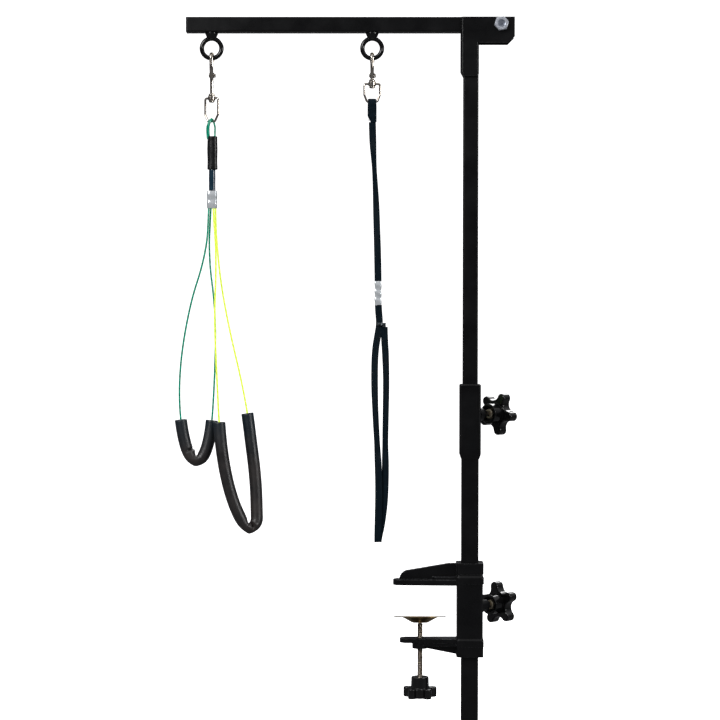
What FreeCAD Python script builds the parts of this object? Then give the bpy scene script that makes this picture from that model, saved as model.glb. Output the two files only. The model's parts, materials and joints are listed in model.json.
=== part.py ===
"""Clamp-on folding grooming arm with a loop noose and a two-loop haunch holder.

A C-clamp grips a table edge and carries an upright square post. The upper post telescopes in the
lower one, a top arm folds over a bolt in a folded bracket, and two leads hang from eyebolts on
snap hooks. Millimetres. +Z is up, +X points from the jaws to the post, +Y points to the back.
The origin is on the clamp screw's axis in the underside of the upper jaw.
"""
import FreeCAD, Part
import math
import os

V = FreeCAD.Vector
UP = V(0, 0, 1)
RIGHT = V(1, 0, 0)
BACK = V(0, 1, 0)
CORNER_AXIS = V(math.sqrt(0.5), math.sqrt(0.5), 0)

# Posts and arm, square tube
POST_X = 73.0
LOWER_TUBE = 25.0
LOWER_WALL = 1.2
LOWER_POST_BOTTOM = -300.0
UPPER_TUBE = 22.0
UPPER_WALL = 1.5
UPPER_POST_BOTTOM = 135.0
TUBE_CORNER = 2.0
ARM_Z = 823.0
ARM_LEFT = -345.0
ARM_RIGHT = 134.0
PLUG_CAP = 2.0
STOP_GAP = 0.4

# Telescoping sleeve welded on the lower post
SLEEVE_SIZE = 31.0
SLEEVE_BOTTOM = 186.0
SLEEVE_TOP = 296.0
SLEEVE_SCREW_Z = 251.0

# Folded bracket and pivot bolt
BRACKET_PLATE = 4.0
BRACKET_GAP = 22.6
BRACKET_LEFT = 58.0
BRACKET_RIGHT = 136.5
BRACKET_BOTTOM = 747.0
PIVOT_X = 116.8
PIVOT_RADIUS = 6.0
HEX_12 = 19.0

# Clamp
BODY_SIZE = 38.0
BODY_TOP = 33.0
BODY_BOTTOM = -105.0
POST_HOLE = 25.6
UPPER_JAW_TIP = -40.0
LOWER_JAW_TIP = -30.0
LOWER_JAW_TOP = -79.0
CLAMP_SCREW_Z = -33.7
SCREW_RADIUS = 4.0
THREAD_PLAY = 0.05
PAD_RIM_Z = -47.2
PAD_RADIUS = 38.5
PAD_SHEET = 1.6
PAD_DEPTH = 8.2
PAD_TILT = 8.0
RETAINER_BOTTOM = PAD_RIM_Z - PAD_DEPTH + 1.3
SCREW_KNOB_TOP = -136.5

# Star knobs
LOBES = 5
KNOB_RADIUS = 32.5
KNOB_HUB = 15.0
KNOB_HUB_HEIGHT = 15.5
KNOB_STAR_HEIGHT = 15.0
SMALL_KNOB_RADIUS = 25.5
SMALL_KNOB_HUB = 12.8

# Eyebolts and snap hooks
EYE_XS = {"outer": -308.0, "inner": -72.0}
EYE_Z = 789.0
EYE_RING = 14.4
EYE_WIRE = 3.4
HOOK_BEND = 6.5
HOOK_WIRE = 2.3
GATE_PIVOT = (4.2, -25.0)
RING_WIRE = 1.6
RING_HALF_WIDTH = 11.4

# Leads
CABLE_RADIUS = 1.4
STRAP_RADIUS = 2.5
FOAM_RADIUS = 8.5
FOAM_BORE = 1.55
TAB_BOTTOM = 681.0
CRIMP_TOP = 447.3
CRIMP_BOTTOM = 412.2
FERRULE_TOP = 580.0
FERRULE_BOTTOM = 554.0
ARC_SHARE = 0.45

NOOSE_STRAP = [(-71.6, 0, 681), (-70.9, 0.6, 652), (-68.6, 0.9, 615), (-66.1, 0.4, 570),
               (-64.6, -0.4, 522), (-63.3, 0.3, 482), (-62.8, 0, 447.3)]
NOOSE_LOOP = [(-62.4, 0, 412.2), (-61.6, 0, 399), (-60.2, 0, 384), (-63.5, -0.5, 366), (-67.2, -1.5, 343),
              (-68.0, -2.5, 300), (-66.4, -2.5, 252), (-63.8, -2.2, 208), (-61.6, -2.4, 164),
              (-61.4, -3.4, 124), (-62.2, -5.0, 92), (-62.6, -5.9, 69), (-62.5, -2.45, 65.5),
              (-62.1, 2.45, 65.5), (-61.4, 5.9, 69), (-57.0, 5.0, 88), (-52.6, 3.6, 122), (-51.3, 2.6, 164),
              (-51.9, 2.2, 208), (-51.2, 2.5, 252), (-50.4, 2.5, 300), (-51.6, 1.5, 340),
              (-53.2, 0.5, 362), (-53.7, 0, 380)]
CABLE_GREEN = [(-312.2, -2.0, 554), (-312.9, -3.4, 530), (-314.6, -4.6, 503), (-322.6, -5.2, 465),
               (-336.0, -5.6, 424), (-346.2, -5.6, 376), (-353.0, -5.4, 330), (-355.6, -5.0, 284),
               (-353.6, -4.4, 243), (-348.0, -4.0, 211), (-341.5, -3.6, 192), (-333.9, -3.2, 183.5),
               (-323.2, -2.6, 184.6), (-317.0, -2.0, 194.6), (-311.4, -0.6, 214), (-307.4, 1.2, 242),
               (-305.0, 3.4, 284),
               (-303.2, 4.8, 330), (-302.4, 5.4, 376), (-305.2, 5.2, 424), (-310.6, 4.6, 465),
               (-312.0, 3.6, 503), (-310.6, 2.6, 530), (-309.4, 2.0, 554)]
CABLE_YELLOW = [(-305.4, -2.0, 554), (-304.0, -3.6, 528), (-301.4, -6.2, 500), (-301.0, -9.0, 452),
                (-302.8, -11.6, 404), (-301.6, -13.4, 356), (-299.2, -14.6, 308), (-297.0, -15.6, 262),
                (-295.6, -16.0, 239), (-292.4, -16.4, 203), (-287.0, -16.2, 168), (-279.2, -15.4, 135),
                (-269.4, -14.2, 108), (-258.2, -12.0, 87), (-248.0, -9.0, 84.8), (-240.5, -5.6, 92),
                (-241.2, -4.0, 108), (-242.0, -2.6, 138), (-244.8, -1.6, 172), (-249.6, -0.8, 208),
                (-254.6, 0, 248), (-258.6, 1.0, 272), (-266.4, 2.2, 310), (-277.6, 4.0, 356),
                (-287.8, 5.2, 404), (-295.8, 5.2, 452), (-300.4, 4.2, 500), (-302.2, 2.8, 528),
                (-302.4, 2.0, 554)]
FOAM_SHORT = {"runs": (7, 15), "middle_x": -330.0, "tops": (243.0, 242.0)}
FOAM_LONG = {"runs": (7, 20), "middle_x": -275.0, "tops": (240.0, 252.5)}


# Shapes used more than once

def rounded_bar(width, depth, corner, bottom, top):
    """An upright bar on the Z axis with four rounded long edges."""
    bar = Part.makeBox(width, depth, top - bottom, V(-width / 2, -depth / 2, bottom))
    long_edges = [edge for edge in bar.Edges if abs(edge.tangentAt(edge.FirstParameter).z) > 0.9]
    return bar.makeFillet(corner, long_edges)


def square_tube(size, wall, bottom, top):
    inner_corner = max(TUBE_CORNER - wall, 0.4)
    outer = rounded_bar(size, size, TUBE_CORNER, bottom, top)
    inner = rounded_bar(size - 2 * wall, size - 2 * wall, inner_corner, bottom - 1, top + 1)
    return outer.cut(inner)


def square_loft(sections, corner):
    """A square column through (size, height) sections, with flat tapers between them."""
    wires = []
    for size, height in sections:
        slab = rounded_bar(size, size, corner, height, height + 1)
        bottom_face = min(slab.Faces, key=lambda face: face.CenterOfMass.z)
        wires.append(bottom_face.OuterWire)
    return Part.makeLoft(wires, True, True)


def turned(profile):
    """A solid turned about Z from its (radius, height) corners."""
    corners = [V(radius, 0, height) for radius, height in profile]
    return Part.Face(Part.makePolygon(corners + corners[:1])).revolve(V(), UP, 360)


def plate(outline, thickness, middle_y=0.0):
    """A plate standing in XZ, centred on middle_y."""
    corners = [V(x, middle_y - thickness / 2, z) for x, z in outline]
    return Part.Face(Part.makePolygon(corners + corners[:1])).extrude(V(0, thickness, 0))


def hexagon(across_flats, bottom, top):
    """A hexagonal head or nut with turned-off corners."""
    corner = across_flats / math.sqrt(3)
    points = [V(corner * math.cos(math.radians(60 * i)), corner * math.sin(math.radians(60 * i)), bottom)
              for i in range(7)]
    prism = Part.Face(Part.makePolygon(points)).extrude(V(0, 0, top - bottom))
    bevel = corner - across_flats / 2
    turned_blank = turned([(0, bottom), (corner, bottom), (corner, top - bevel),
                           (corner - bevel, top), (0, top)])
    return prism.common(turned_blank)


def placed(shape, origin, axis=UP, spin=0.0):
    """The shape with its own Z axis laid along another axis and its origin moved."""
    moved = shape.copy()
    turn = FreeCAD.Rotation(UP, axis) * FreeCAD.Rotation(UP, spin)
    moved.Placement = FreeCAD.Placement(origin, turn)
    return moved


def route_edges(points, bend=None):
    """Straight runs joined by tangent arcs, as large as the runs allow unless a bend radius is given."""
    corners = [V(*point) for point in points]
    edges = []
    radii = []
    start = corners[0]
    for before, corner, after in zip(corners, corners[1:], corners[2:]):
        arriving = (corner - before).normalize()
        leaving = (after - corner).normalize()
        half_turn = arriving.getAngle(leaving) / 2
        shorter = min((corner - before).Length, (after - corner).Length)
        radius = bend or ARC_SHARE * shorter / math.tan(half_turn)
        trim = radius * math.tan(half_turn)
        inward = (leaving - arriving).normalize()
        arc_start = corner - arriving * trim
        arc_end = corner + leaving * trim
        arc_middle = corner + inward * (radius / math.cos(half_turn) - radius)
        edges.append(Part.LineSegment(start, arc_start).toShape())
        edges.append(Part.Arc(arc_start, arc_middle, arc_end).toShape())
        radii.append(radius)
        start = arc_end
    edges.append(Part.LineSegment(start, corners[-1]).toShape())
    return edges, radii


def swept(edges, radius):
    """A round rod along joined edges."""
    path = Part.Wire(edges)
    first = edges[0]
    start = first.valueAt(first.FirstParameter)
    section = Part.Wire(Part.makeCircle(radius, start, first.tangentAt(first.FirstParameter)))
    return path.makePipeShell([section], True, False)


def cord(name, points, radius):
    """A cord's tube. Prints its length, its tightest bends and how well the sweep kept its volume."""
    edges, radii = route_edges(points)
    length = sum(edge.Length for edge in edges)
    rod = swept(edges, radius)
    kept = rod.Volume / (math.pi * radius ** 2 * length)
    print(f"{name}: length {length:.1f}, volume ratio {kept:.4f}, radii", [round(r, 1) for r in radii])
    return rod


def corner_point(distance, height):
    """A point on the line from the post's axis out through its rear right corner."""
    return V(POST_X, 0, height) + CORNER_AXIS * distance


# Star knobs

def star_face(radius, height):
    """Five rounded lobes joined by tangent hollows."""
    lobe = 0.215 * radius
    lobe_at = radius - lobe
    waist = 0.6 * radius
    half = math.pi / LOBES
    reach = lobe_at * math.cos(half)
    hollow = (lobe_at ** 2 + waist ** 2 - 2 * reach * waist - lobe ** 2) / (2 * (lobe + reach - waist))
    edges = []
    for i in range(LOBES):
        angle = 2 * half * i

        def at(distance, turn):
            return V(distance * math.cos(angle + turn), distance * math.sin(angle + turn), height)

        centre = at(lobe_at, 0)
        ends = []
        for side in (-half, half):
            hollow_centre = at(waist + hollow, side)
            ends.append(centre + (hollow_centre - centre) * (lobe / (lobe + hollow)))
        edges.append(Part.Arc(ends[0], at(radius, 0), ends[1]).toShape())
        next_start = FreeCAD.Rotation(UP, 360 / LOBES).multVec(ends[0] - V(0, 0, height)) + V(0, 0, height)
        edges.append(Part.Arc(ends[1], at(waist, half), next_start).toShape())
    return Part.Face(Part.Wire(edges))


def star_knob(radius, hub, hub_height, bore, bore_depth):
    """A moulded knob on Z: hub rim at zero, star above it. The bore takes its screw."""
    star_top = hub_height + KNOB_STAR_HEIGHT
    star = star_face(radius, hub_height).extrude(V(0, 0, KNOB_STAR_HEIGHT))
    rims = [edge for edge in star.Edges if abs(edge.BoundBox.ZLength) < 0.01]
    star = star.makeFillet(2.0, rims)
    hub_body = turned([(0, 0), (hub - 0.8, 0), (hub, 0.8), (hub + 0.6, hub_height + 1), (0, hub_height + 1)])
    dome = turned([(0, star_top - 1), (hub - 1, star_top - 1), (hub - 3, star_top + 1), (0, star_top + 1.6)])
    knob = star.fuse([hub_body, dome]).removeSplitter()
    return knob.cut(turned([(0, -1), (bore, -1), (bore, bore_depth), (0, bore_depth)]))


INSERT_RADIUS = 8.0
INSERT_TOP = 12.0
RECESS_RADIUS = 11.0
RECESS_DEPTH = 8.5
STUD_END = 22.0


def hollow_knob():
    """The large knob, its hub open around a brass insert."""
    knob = star_knob(KNOB_RADIUS, KNOB_HUB, KNOB_HUB_HEIGHT, SCREW_RADIUS, STUD_END)
    recess = turned([(0, -1), (RECESS_RADIUS + 0.6, -1), (RECESS_RADIUS, RECESS_DEPTH),
                     (INSERT_RADIUS, RECESS_DEPTH),
                     (INSERT_RADIUS, INSERT_TOP), (0, INSERT_TOP)])
    return knob.cut(recess)


def knob_insert():
    """The flanged brass nut moulded into the hub."""
    body = turned([(SCREW_RADIUS, 1.2), (6.2, 1.2), (7.0, 2.0), (7.0, 6.0), (INSERT_RADIUS, 6.6),
                   (INSERT_RADIUS, INSERT_TOP), (SCREW_RADIUS, INSERT_TOP)])
    return body


def set_screw_parts(name, height, tip, rim, spin):
    """A corner set screw with its knob: tip and rim are distances from the post's axis."""
    stud_length = rim + STUD_END - tip - 0.3
    radius = SCREW_RADIUS - THREAD_PLAY
    stud = turned([(0, 0), (radius - 1, 0), (radius, 1), (radius, stud_length), (0, stud_length)])
    return {
        name + "_stud": placed(stud, corner_point(tip, height), CORNER_AXIS),
        name + "_knob": placed(hollow_knob(), corner_point(rim, height), CORNER_AXIS, spin),
        name + "_knob_insert": placed(knob_insert(), corner_point(rim, height), CORNER_AXIS),
    }


def corner_boss(height, inside, outside, base, end):
    """A tapering threaded boss around the set screw, on the tube's rear right corner."""
    boss = turned([(0, inside), (base, inside), (base, inside + 7), (end, outside), (0, outside)])
    return placed(boss, V(POST_X, 0, height), CORNER_AXIS)


def corner_bore(height, radius, inside, outside):
    return placed(turned([(0, inside), (radius, inside), (radius, outside), (0, outside)]),
                  V(POST_X, 0, height), CORNER_AXIS)


# Clamp

def jaw_slab(tip, half_tip, half_root, bottom, top):
    """A flat jaw seen from above: straight sides that narrow to a round nose."""
    root = POST_X
    nose = tip + 9
    outline = [Part.LineSegment(V(root, half_root, bottom), V(nose, half_tip, bottom)).toShape(),
               Part.Arc(V(nose, half_tip, bottom), V(tip, 0, bottom), V(nose, -half_tip, bottom)).toShape(),
               Part.LineSegment(V(nose, -half_tip, bottom), V(root, -half_root, bottom)).toShape(),
               Part.LineSegment(V(root, -half_root, bottom), V(root, half_root, bottom)).toShape()]
    return Part.Face(Part.Wire(outline)).extrude(V(0, 0, top - bottom))


def upper_rib():
    """The upright web on the upper jaw, with a rounded nose."""
    half = 4.5
    nose_start = V(-31, -half, 7)
    nose_end = V(-16, -half, 21.5)
    outline = [Part.Arc(nose_start, V(-27, -half, 16.5), nose_end).toShape(),
               Part.LineSegment(nose_end, V(42, -half, 31.5)).toShape(),
               Part.LineSegment(V(42, -half, 31.5), V(POST_X, -half, 32)).toShape(),
               Part.LineSegment(V(POST_X, -half, 32), V(POST_X, -half, 7)).toShape(),
               Part.LineSegment(V(POST_X, -half, 7), nose_start).toShape()]
    return Part.Face(Part.Wire(outline)).extrude(V(0, 2 * half, 0))


def clamp_body():
    column = rounded_bar(BODY_SIZE, BODY_SIZE, 4, BODY_BOTTOM + 2, BODY_TOP)
    collars = [square_loft([(BODY_SIZE + 1.6, 17), (BODY_SIZE + 1.6, BODY_TOP)], 4),
               square_loft([(BODY_SIZE + 2.6, 2.5), (BODY_SIZE + 2.6, 12), (BODY_SIZE, 15)], 4),
               square_loft([(BODY_SIZE + 2.6, -90), (BODY_SIZE + 2.6, -80.5), (BODY_SIZE, -78)], 4),
               square_loft([(BODY_SIZE + 1.6, BODY_BOTTOM), (BODY_SIZE + 1.6, -88)], 4)]
    for part in [column] + collars:
        part.translate(V(POST_X, 0, 0))
    jaws = [jaw_slab(UPPER_JAW_TIP, 13, 17, 0, 8),
            jaw_slab(16.5, 12, 14, 7, 12),
            upper_rib(),
            jaw_slab(LOWER_JAW_TIP, 12, 15.5, LOWER_JAW_TOP - 6.2, LOWER_JAW_TOP),
            jaw_slab(-2, 11, 15.5, LOWER_JAW_TOP - 11, LOWER_JAW_TOP - 5),
            Part.makeCylinder(11.5, 10, V(0, 0, LOWER_JAW_TOP - 15)),
            plate([(8, -89), (11, -94), (POST_X, -106), (POST_X, -89)], 9)]
    boss = corner_boss(CLAMP_SCREW_Z, 14, 36, 10.5, 8.5)
    body = column.fuse(collars + jaws + [boss]).removeSplitter()
    post_hole = rounded_bar(POST_HOLE, POST_HOLE, TUBE_CORNER, BODY_BOTTOM - 10, BODY_TOP + 10)
    post_hole.translate(V(POST_X, 0, 0))
    body = body.cut(post_hole)
    body = body.cut(Part.makeCylinder(SCREW_RADIUS, 40, V(0, 0, LOWER_JAW_TOP - 30)))
    return body.cut(corner_bore(CLAMP_SCREW_Z, SCREW_RADIUS, 10, 40))


def pad_profile(drop):
    """The dish's line from its rim to its centre hole, drop below the rim's top face."""
    points = [(PAD_RADIUS, 0, -drop), (26 - drop / 4, 0, -drop), (11 - drop / 4, 0, -PAD_DEPTH - drop),
              (3.9, 0, -PAD_DEPTH - drop)]
    edges, _ = route_edges(points, 9.0)
    return edges, V(*points[0]), V(*points[-1])


def pressure_pad():
    """A pressed dish with a flat rim, loose on the screw's neck and tipped towards the back."""
    top, top_rim, top_hole = pad_profile(0)
    under, under_rim, under_hole = pad_profile(PAD_SHEET)
    closing = [Part.LineSegment(top_rim, under_rim).toShape(),
               Part.LineSegment(top_hole, under_hole).toShape()]
    wire = Part.Wire(Part.__sortEdges__(top + under + closing))
    dish = Part.Face(wire).revolve(V(), UP, 360)
    neck = V(0, 0, PAD_RIM_Z - PAD_DEPTH - PAD_SHEET / 2)
    dish.translate(V(0, 0, PAD_RIM_Z))
    dish.rotate(neck, RIGHT, -PAD_TILT)
    return dish


def clamp_screw():
    """The long screw. Its thin neck passes through the pad and washer and is peened over above them."""
    shoulder = PAD_RIM_Z - PAD_DEPTH - PAD_SHEET - 0.9
    thread = SCREW_RADIUS - THREAD_PLAY
    neck = 2.6
    rivet = RETAINER_BOTTOM + 1.8
    bottom = SCREW_KNOB_TOP - STUD_END + 1
    return turned([(0, bottom), (thread, bottom), (thread, shoulder - 0.8), (thread - 0.8, shoulder),
                   (neck, shoulder), (neck, rivet), (3.8, rivet), (3.2, rivet + 1.1), (0, rivet + 1.5)])


def pad_retainer():
    """The washer that keeps the pad on the screw's neck."""
    bottom = RETAINER_BOTTOM
    top = bottom + 1.6
    return turned([(2.65, bottom), (6.5, bottom), (6.5, bottom + 0.6), (5.4, top), (2.65, top)])


def screw_knob():
    knob = star_knob(SMALL_KNOB_RADIUS, SMALL_KNOB_HUB, KNOB_HUB_HEIGHT, SCREW_RADIUS - THREAD_PLAY, STUD_END)
    return placed(knob, V(0, 0, SCREW_KNOB_TOP), V(0, 0, -1), 20)


# Posts

def lower_post():
    post = square_tube(LOWER_TUBE, LOWER_WALL, LOWER_POST_BOTTOM + 3, SLEEVE_TOP - 2)
    post.translate(V(POST_X, 0, 0))
    return post.cut(corner_bore(SLEEVE_SCREW_Z, SCREW_RADIUS + 0.3, 10, 30))


def post_sleeve():
    outer = square_loft([(LOWER_TUBE + 1.5, SLEEVE_BOTTOM), (SLEEVE_SIZE, SLEEVE_BOTTOM + 7),
                         (SLEEVE_SIZE, SLEEVE_TOP - 1.4), (SLEEVE_SIZE - 2.4, SLEEVE_TOP)], 3)
    outer.translate(V(POST_X, 0, 0))
    body = outer.fuse(corner_boss(SLEEVE_SCREW_Z, 14, 33, 10.5, 5.5))
    core = rounded_bar(LOWER_TUBE, LOWER_TUBE, TUBE_CORNER, SLEEVE_BOTTOM - 1, SLEEVE_TOP - 2)
    mouth = rounded_bar(LOWER_TUBE - 2, LOWER_TUBE - 2, TUBE_CORNER, SLEEVE_TOP - 3, SLEEVE_TOP + 1)
    for hole in (core, mouth):
        hole.translate(V(POST_X, 0, 0))
    return body.cut(core).cut(mouth).cut(corner_bore(SLEEVE_SCREW_Z, SCREW_RADIUS, 10, 40))


def tube_plug(size, wall, cap, plug):
    """A moulded plug: a cap as wide as the tube, and a ribbed core that fits inside it."""
    head = rounded_bar(size, size, TUBE_CORNER, 0, cap)
    core_size = size - 2 * wall - 0.8
    core = rounded_bar(core_size, core_size, 1, cap, cap + plug)
    inside = size - 2 * wall
    rib_pitch = 3.5
    rib_bottoms = [cap + 2 + rib_pitch * i for i in range(3)]
    ribs = [rounded_bar(inside, inside, 0.5, bottom, bottom + 1) for bottom in rib_bottoms]
    return head.fuse([core] + ribs).removeSplitter()


def lower_post_plug():
    return placed(tube_plug(LOWER_TUBE, LOWER_WALL, 3, 12), V(POST_X, 0, LOWER_POST_BOTTOM))


def upper_post():
    post = square_tube(UPPER_TUBE, UPPER_WALL, UPPER_POST_BOTTOM, ARM_Z - UPPER_TUBE / 2 - STOP_GAP)
    post.translate(V(POST_X, 0, 0))
    return post


# Bracket and arm

def arm_bracket():
    """Folded sheet: two side plates and a web, open above for the arm to swing through."""
    top = ARM_Z + 10.5
    outline = [(BRACKET_LEFT, 755), (BRACKET_LEFT + 4.5, BRACKET_BOTTOM), (82, BRACKET_BOTTOM), (82, 796),
               (BRACKET_RIGHT - 9, 796), (BRACKET_RIGHT, 805), (BRACKET_RIGHT, top), (BRACKET_LEFT, top)]
    depth = BRACKET_GAP + 2 * BRACKET_PLATE
    block = plate(outline, depth)
    folds = [edge for edge in block.Edges
             if edge.BoundBox.ZLength > 60 and abs(edge.BoundBox.XMin - BRACKET_LEFT) < 0.01]
    block = block.makeFillet(3.5, folds)
    inside = BRACKET_LEFT + BRACKET_PLATE
    channel = Part.makeBox(120, BRACKET_GAP, 120, V(inside, -BRACKET_GAP / 2, BRACKET_BOTTOM - 10))
    rest_height = ARM_Z - UPPER_TUBE / 2 - STOP_GAP
    window = Part.makeBox(20, BRACKET_GAP, 40, V(BRACKET_LEFT - 5, -BRACKET_GAP / 2, rest_height))
    bore = Part.makeCylinder(PIVOT_RADIUS, 60, V(PIVOT_X, -30, ARM_Z), BACK)
    return block.cut(channel).cut(window).cut(bore)


def bracket_welds(bracket, post):
    """A bead down each side plate's edge, onto the post."""
    beads = []
    for side in (-1, 1):
        bead = Part.makeCylinder(2.4, 42, V(82, side * (UPPER_TUBE / 2 + 0.3), BRACKET_BOTTOM + 3))
        keep = Part.makeBox(10, 10, 60, V(78, side * 15 - 5 + side * 0.95, BRACKET_BOTTOM))
        beads.append(bead.common(keep).cut(post).cut(bracket))
    return Part.makeCompound([solid for bead in beads for solid in bead.Solids])


def pivot_bolt():
    head_face = BRACKET_GAP / 2 + BRACKET_PLATE
    shank = Part.makeCylinder(PIVOT_RADIUS, 2 * head_face + 13.5, V(0, 0, 0))
    head = hexagon(HEX_12, 0, 7.5)
    head.rotate(V(), RIGHT, 180)
    bolt = head.fuse(shank)
    return placed(bolt, V(PIVOT_X, -head_face, ARM_Z), BACK, 12)


def pivot_nut():
    face = BRACKET_GAP / 2 + BRACKET_PLATE
    nut = hexagon(HEX_12, 0, 9).fuse(turned([(0, 8), (8.2, 8), (7.4, 12), (0, 12)]))
    nut = nut.cut(Part.makeCylinder(PIVOT_RADIUS, 20, V(0, 0, -1)))
    return placed(nut, V(PIVOT_X, face, ARM_Z), BACK)


def arm_tube():
    length = ARM_RIGHT - (ARM_LEFT + PLUG_CAP)
    tube = placed(square_tube(UPPER_TUBE, UPPER_WALL, 0, length), V(ARM_LEFT + PLUG_CAP, 0, ARM_Z), RIGHT)
    tube = tube.cut(Part.makeCylinder(PIVOT_RADIUS + 0.05, 60, V(PIVOT_X, -30, ARM_Z), BACK))
    for x in EYE_XS.values():
        tube = tube.cut(Part.makeCylinder(SCREW_RADIUS + 0.1, 10, V(x, 0, ARM_Z - UPPER_TUBE / 2 - 5)))
    return tube


def arm_end_plug():
    return placed(tube_plug(UPPER_TUBE, UPPER_WALL, PLUG_CAP, 12), V(ARM_LEFT, 0, ARM_Z), RIGHT)


def eyebolt(x):
    """A forged eye under a tapering collar, its shank up through the arm's lower wall."""
    underside = ARM_Z - UPPER_TUBE / 2
    ring = Part.makeTorus(EYE_RING, EYE_WIRE, V(x, 0, EYE_Z), BACK)
    collar = turned([(0, underside), (9.4, underside), (9.4, underside - 2), (7.6, underside - 6),
                     (6.4, underside - 9), (3, underside - 10), (0, underside - 10)])
    shank = Part.makeCylinder(SCREW_RADIUS, 13, V(0, 0, underside - 1))
    for part in (collar, shank):
        part.translate(V(x, 0, 0))
    return ring.fuse([collar, shank]).removeSplitter()


def eyebolt_nuts():
    """The nuts welded inside the arm's lower wall."""
    floor = ARM_Z - UPPER_TUBE / 2 + UPPER_WALL
    nut = hexagon(13, floor, floor + 6.5).cut(Part.makeCylinder(SCREW_RADIUS, 20, V(0, 0, floor - 5)))
    return Part.makeCompound([placed(nut, V(x, 0, 0)) for x in EYE_XS.values()])


# Snap hooks

def snap_hook(neck):
    """Bolt-snap body around its own hinge point: bend, spine, gate cheeks and swivel pin."""
    tip = V(0, HOOK_BEND, -5.5)
    bend = [Part.LineSegment(tip, V(0, HOOK_BEND, 0)).toShape(),
            Part.Arc(V(0, HOOK_BEND, 0), V(0, 0, HOOK_BEND), V(0, -HOOK_BEND, 0)).toShape()]
    spine, _ = route_edges([(0, -HOOK_BEND, 0), (0, -HOOK_BEND, -16), (0, 0, -29), (0, 0, neck)])
    tip_section = Part.Wire(Part.Ellipse(V(), 3.2, 2.0).toShape())
    tip_section.translate(tip)
    neck_section = Part.Wire(Part.Ellipse(V(), HOOK_WIRE + 0.1, HOOK_WIRE).toShape())
    neck_section.translate(V(0, 0, neck))
    body = Part.Wire(bend + spine).makePipeShell([tip_section, neck_section], True, False)
    pivot_y, pivot_z = GATE_PIVOT
    pin_bore = Part.makeCylinder(1.5, 20, V(-10, pivot_y, pivot_z), RIGHT)
    for side in (-1, 1):
        ear = Part.makeCylinder(3.6, 1.7, V(side * 2.6 - 0.85, pivot_y, pivot_z), RIGHT)
        web = Part.makeBox(1.7, 6.5, 6.4, V(side * 2.6 - 0.85, pivot_y - 6.5, pivot_z - 3.2))
        body = body.fuse(ear.fuse(web).cut(pin_bore))
    collar_top = neck + 1.5
    swivel = turned([(0, collar_top), (3.4, collar_top), (4.6, collar_top - 1.5), (4.6, collar_top - 3),
                     (2.5, collar_top - 3), (2.5, collar_top - 10.6), (4.2, collar_top - 10.6),
                     (4.2, collar_top - 12), (3, collar_top - 13), (0, collar_top - 13)])
    return body.fuse(swivel)


def hook_gate():
    """The sprung gate between the cheeks, closing on the hook's tip."""
    pivot_y, pivot_z = GATE_PIVOT
    bar = Part.makePolygon([V(-1.5, pivot_y - 2.2, pivot_z), V(-1.5, HOOK_BEND - 1.6, -5.8),
                            V(-1.5, HOOK_BEND + 1.9, -6.6), V(-1.5, pivot_y + 2.6, pivot_z),
                            V(-1.5, pivot_y - 2.2, pivot_z)])
    barrel = Part.makeCylinder(2.6, 3, V(-1.5, pivot_y, pivot_z), RIGHT)
    thumb = Part.makeBox(3, 3.4, 2.2, V(-1.5, pivot_y + 2.0, pivot_z + 8))
    gate = Part.Face(bar).extrude(V(3, 0, 0)).fuse([barrel, thumb]).removeSplitter()
    return gate.cut(Part.makeCylinder(1.55, 20, V(-10, pivot_y, pivot_z), RIGHT))


def gate_pin():
    """The gate's rivet, with a head on each side."""
    pivot_y, pivot_z = GATE_PIVOT
    cheek_face = 3.45
    shank = Part.makeCylinder(1.5, 2 * cheek_face, V(-cheek_face, pivot_y, pivot_z), RIGHT)
    heads = [Part.makeCylinder(2.2, 1.1, V(-cheek_face - 1.1, pivot_y, pivot_z), RIGHT),
             Part.makeCylinder(2.8, 2.0, V(cheek_face, pivot_y, pivot_z), RIGHT)]
    return shank.fuse(heads).removeSplitter()


def swivel_ring(neck, height, half_bar):
    """A wire stirrup hanging on the hook's swivel pin by a drilled boss."""
    boss_top = neck - 1.8
    bar = boss_top - 3.4
    side = RING_HALF_WIDTH
    points = [(4, 0, bar), (side, 0, bar), (side, 0, bar - height + 10), (half_bar, 0, bar - height),
              (-half_bar, 0, bar - height), (-side, 0, bar - height + 10), (-side, 0, bar), (-4, 0, bar)]
    edges, _ = route_edges(points, 2.6)
    boss = turned([(2.6, boss_top), (4.6, boss_top), (5.6, boss_top - 1.2), (5.6, boss_top - 5.6),
                   (4.6, boss_top - 6.8), (2.6, boss_top - 6.8)])
    wire = swept(edges, RING_WIRE)
    hole = Part.makeCylinder(2.6, 30, V(0, 0, boss_top - 15))
    return wire.fuse(boss).removeSplitter().cut(hole)


HOOKS = {"noose": {"eye": "inner", "neck": -32.5, "drop": 26.0, "half_bar": 7.6, "spin": 0.0},
         "holder": {"eye": "outer", "neck": -53.5, "drop": 34.0, "half_bar": 6.0, "spin": -30.0}}


def hook_origin(name):
    return V(EYE_XS[HOOKS[name]["eye"]], 0, EYE_Z - EYE_RING)


def hook_parts(name):
    hook = HOOKS[name]
    origin = hook_origin(name)
    ring = swivel_ring(hook["neck"], hook["drop"], hook["half_bar"])
    return {
        name + "_hook": placed(snap_hook(hook["neck"]), origin),
        name + "_hook_gate": placed(hook_gate(), origin),
        name + "_gate_pin": placed(gate_pin(), origin),
        name + "_swivel_ring": placed(ring, origin, UP, hook["spin"]),
    }


def ring_bar_height(name):
    """The middle of the swivel ring's lower bar."""
    hook = HOOKS[name]
    return hook_origin(name).z + hook["neck"] - 1.8 - 3.4 - hook["drop"]


# Noose lead

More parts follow.
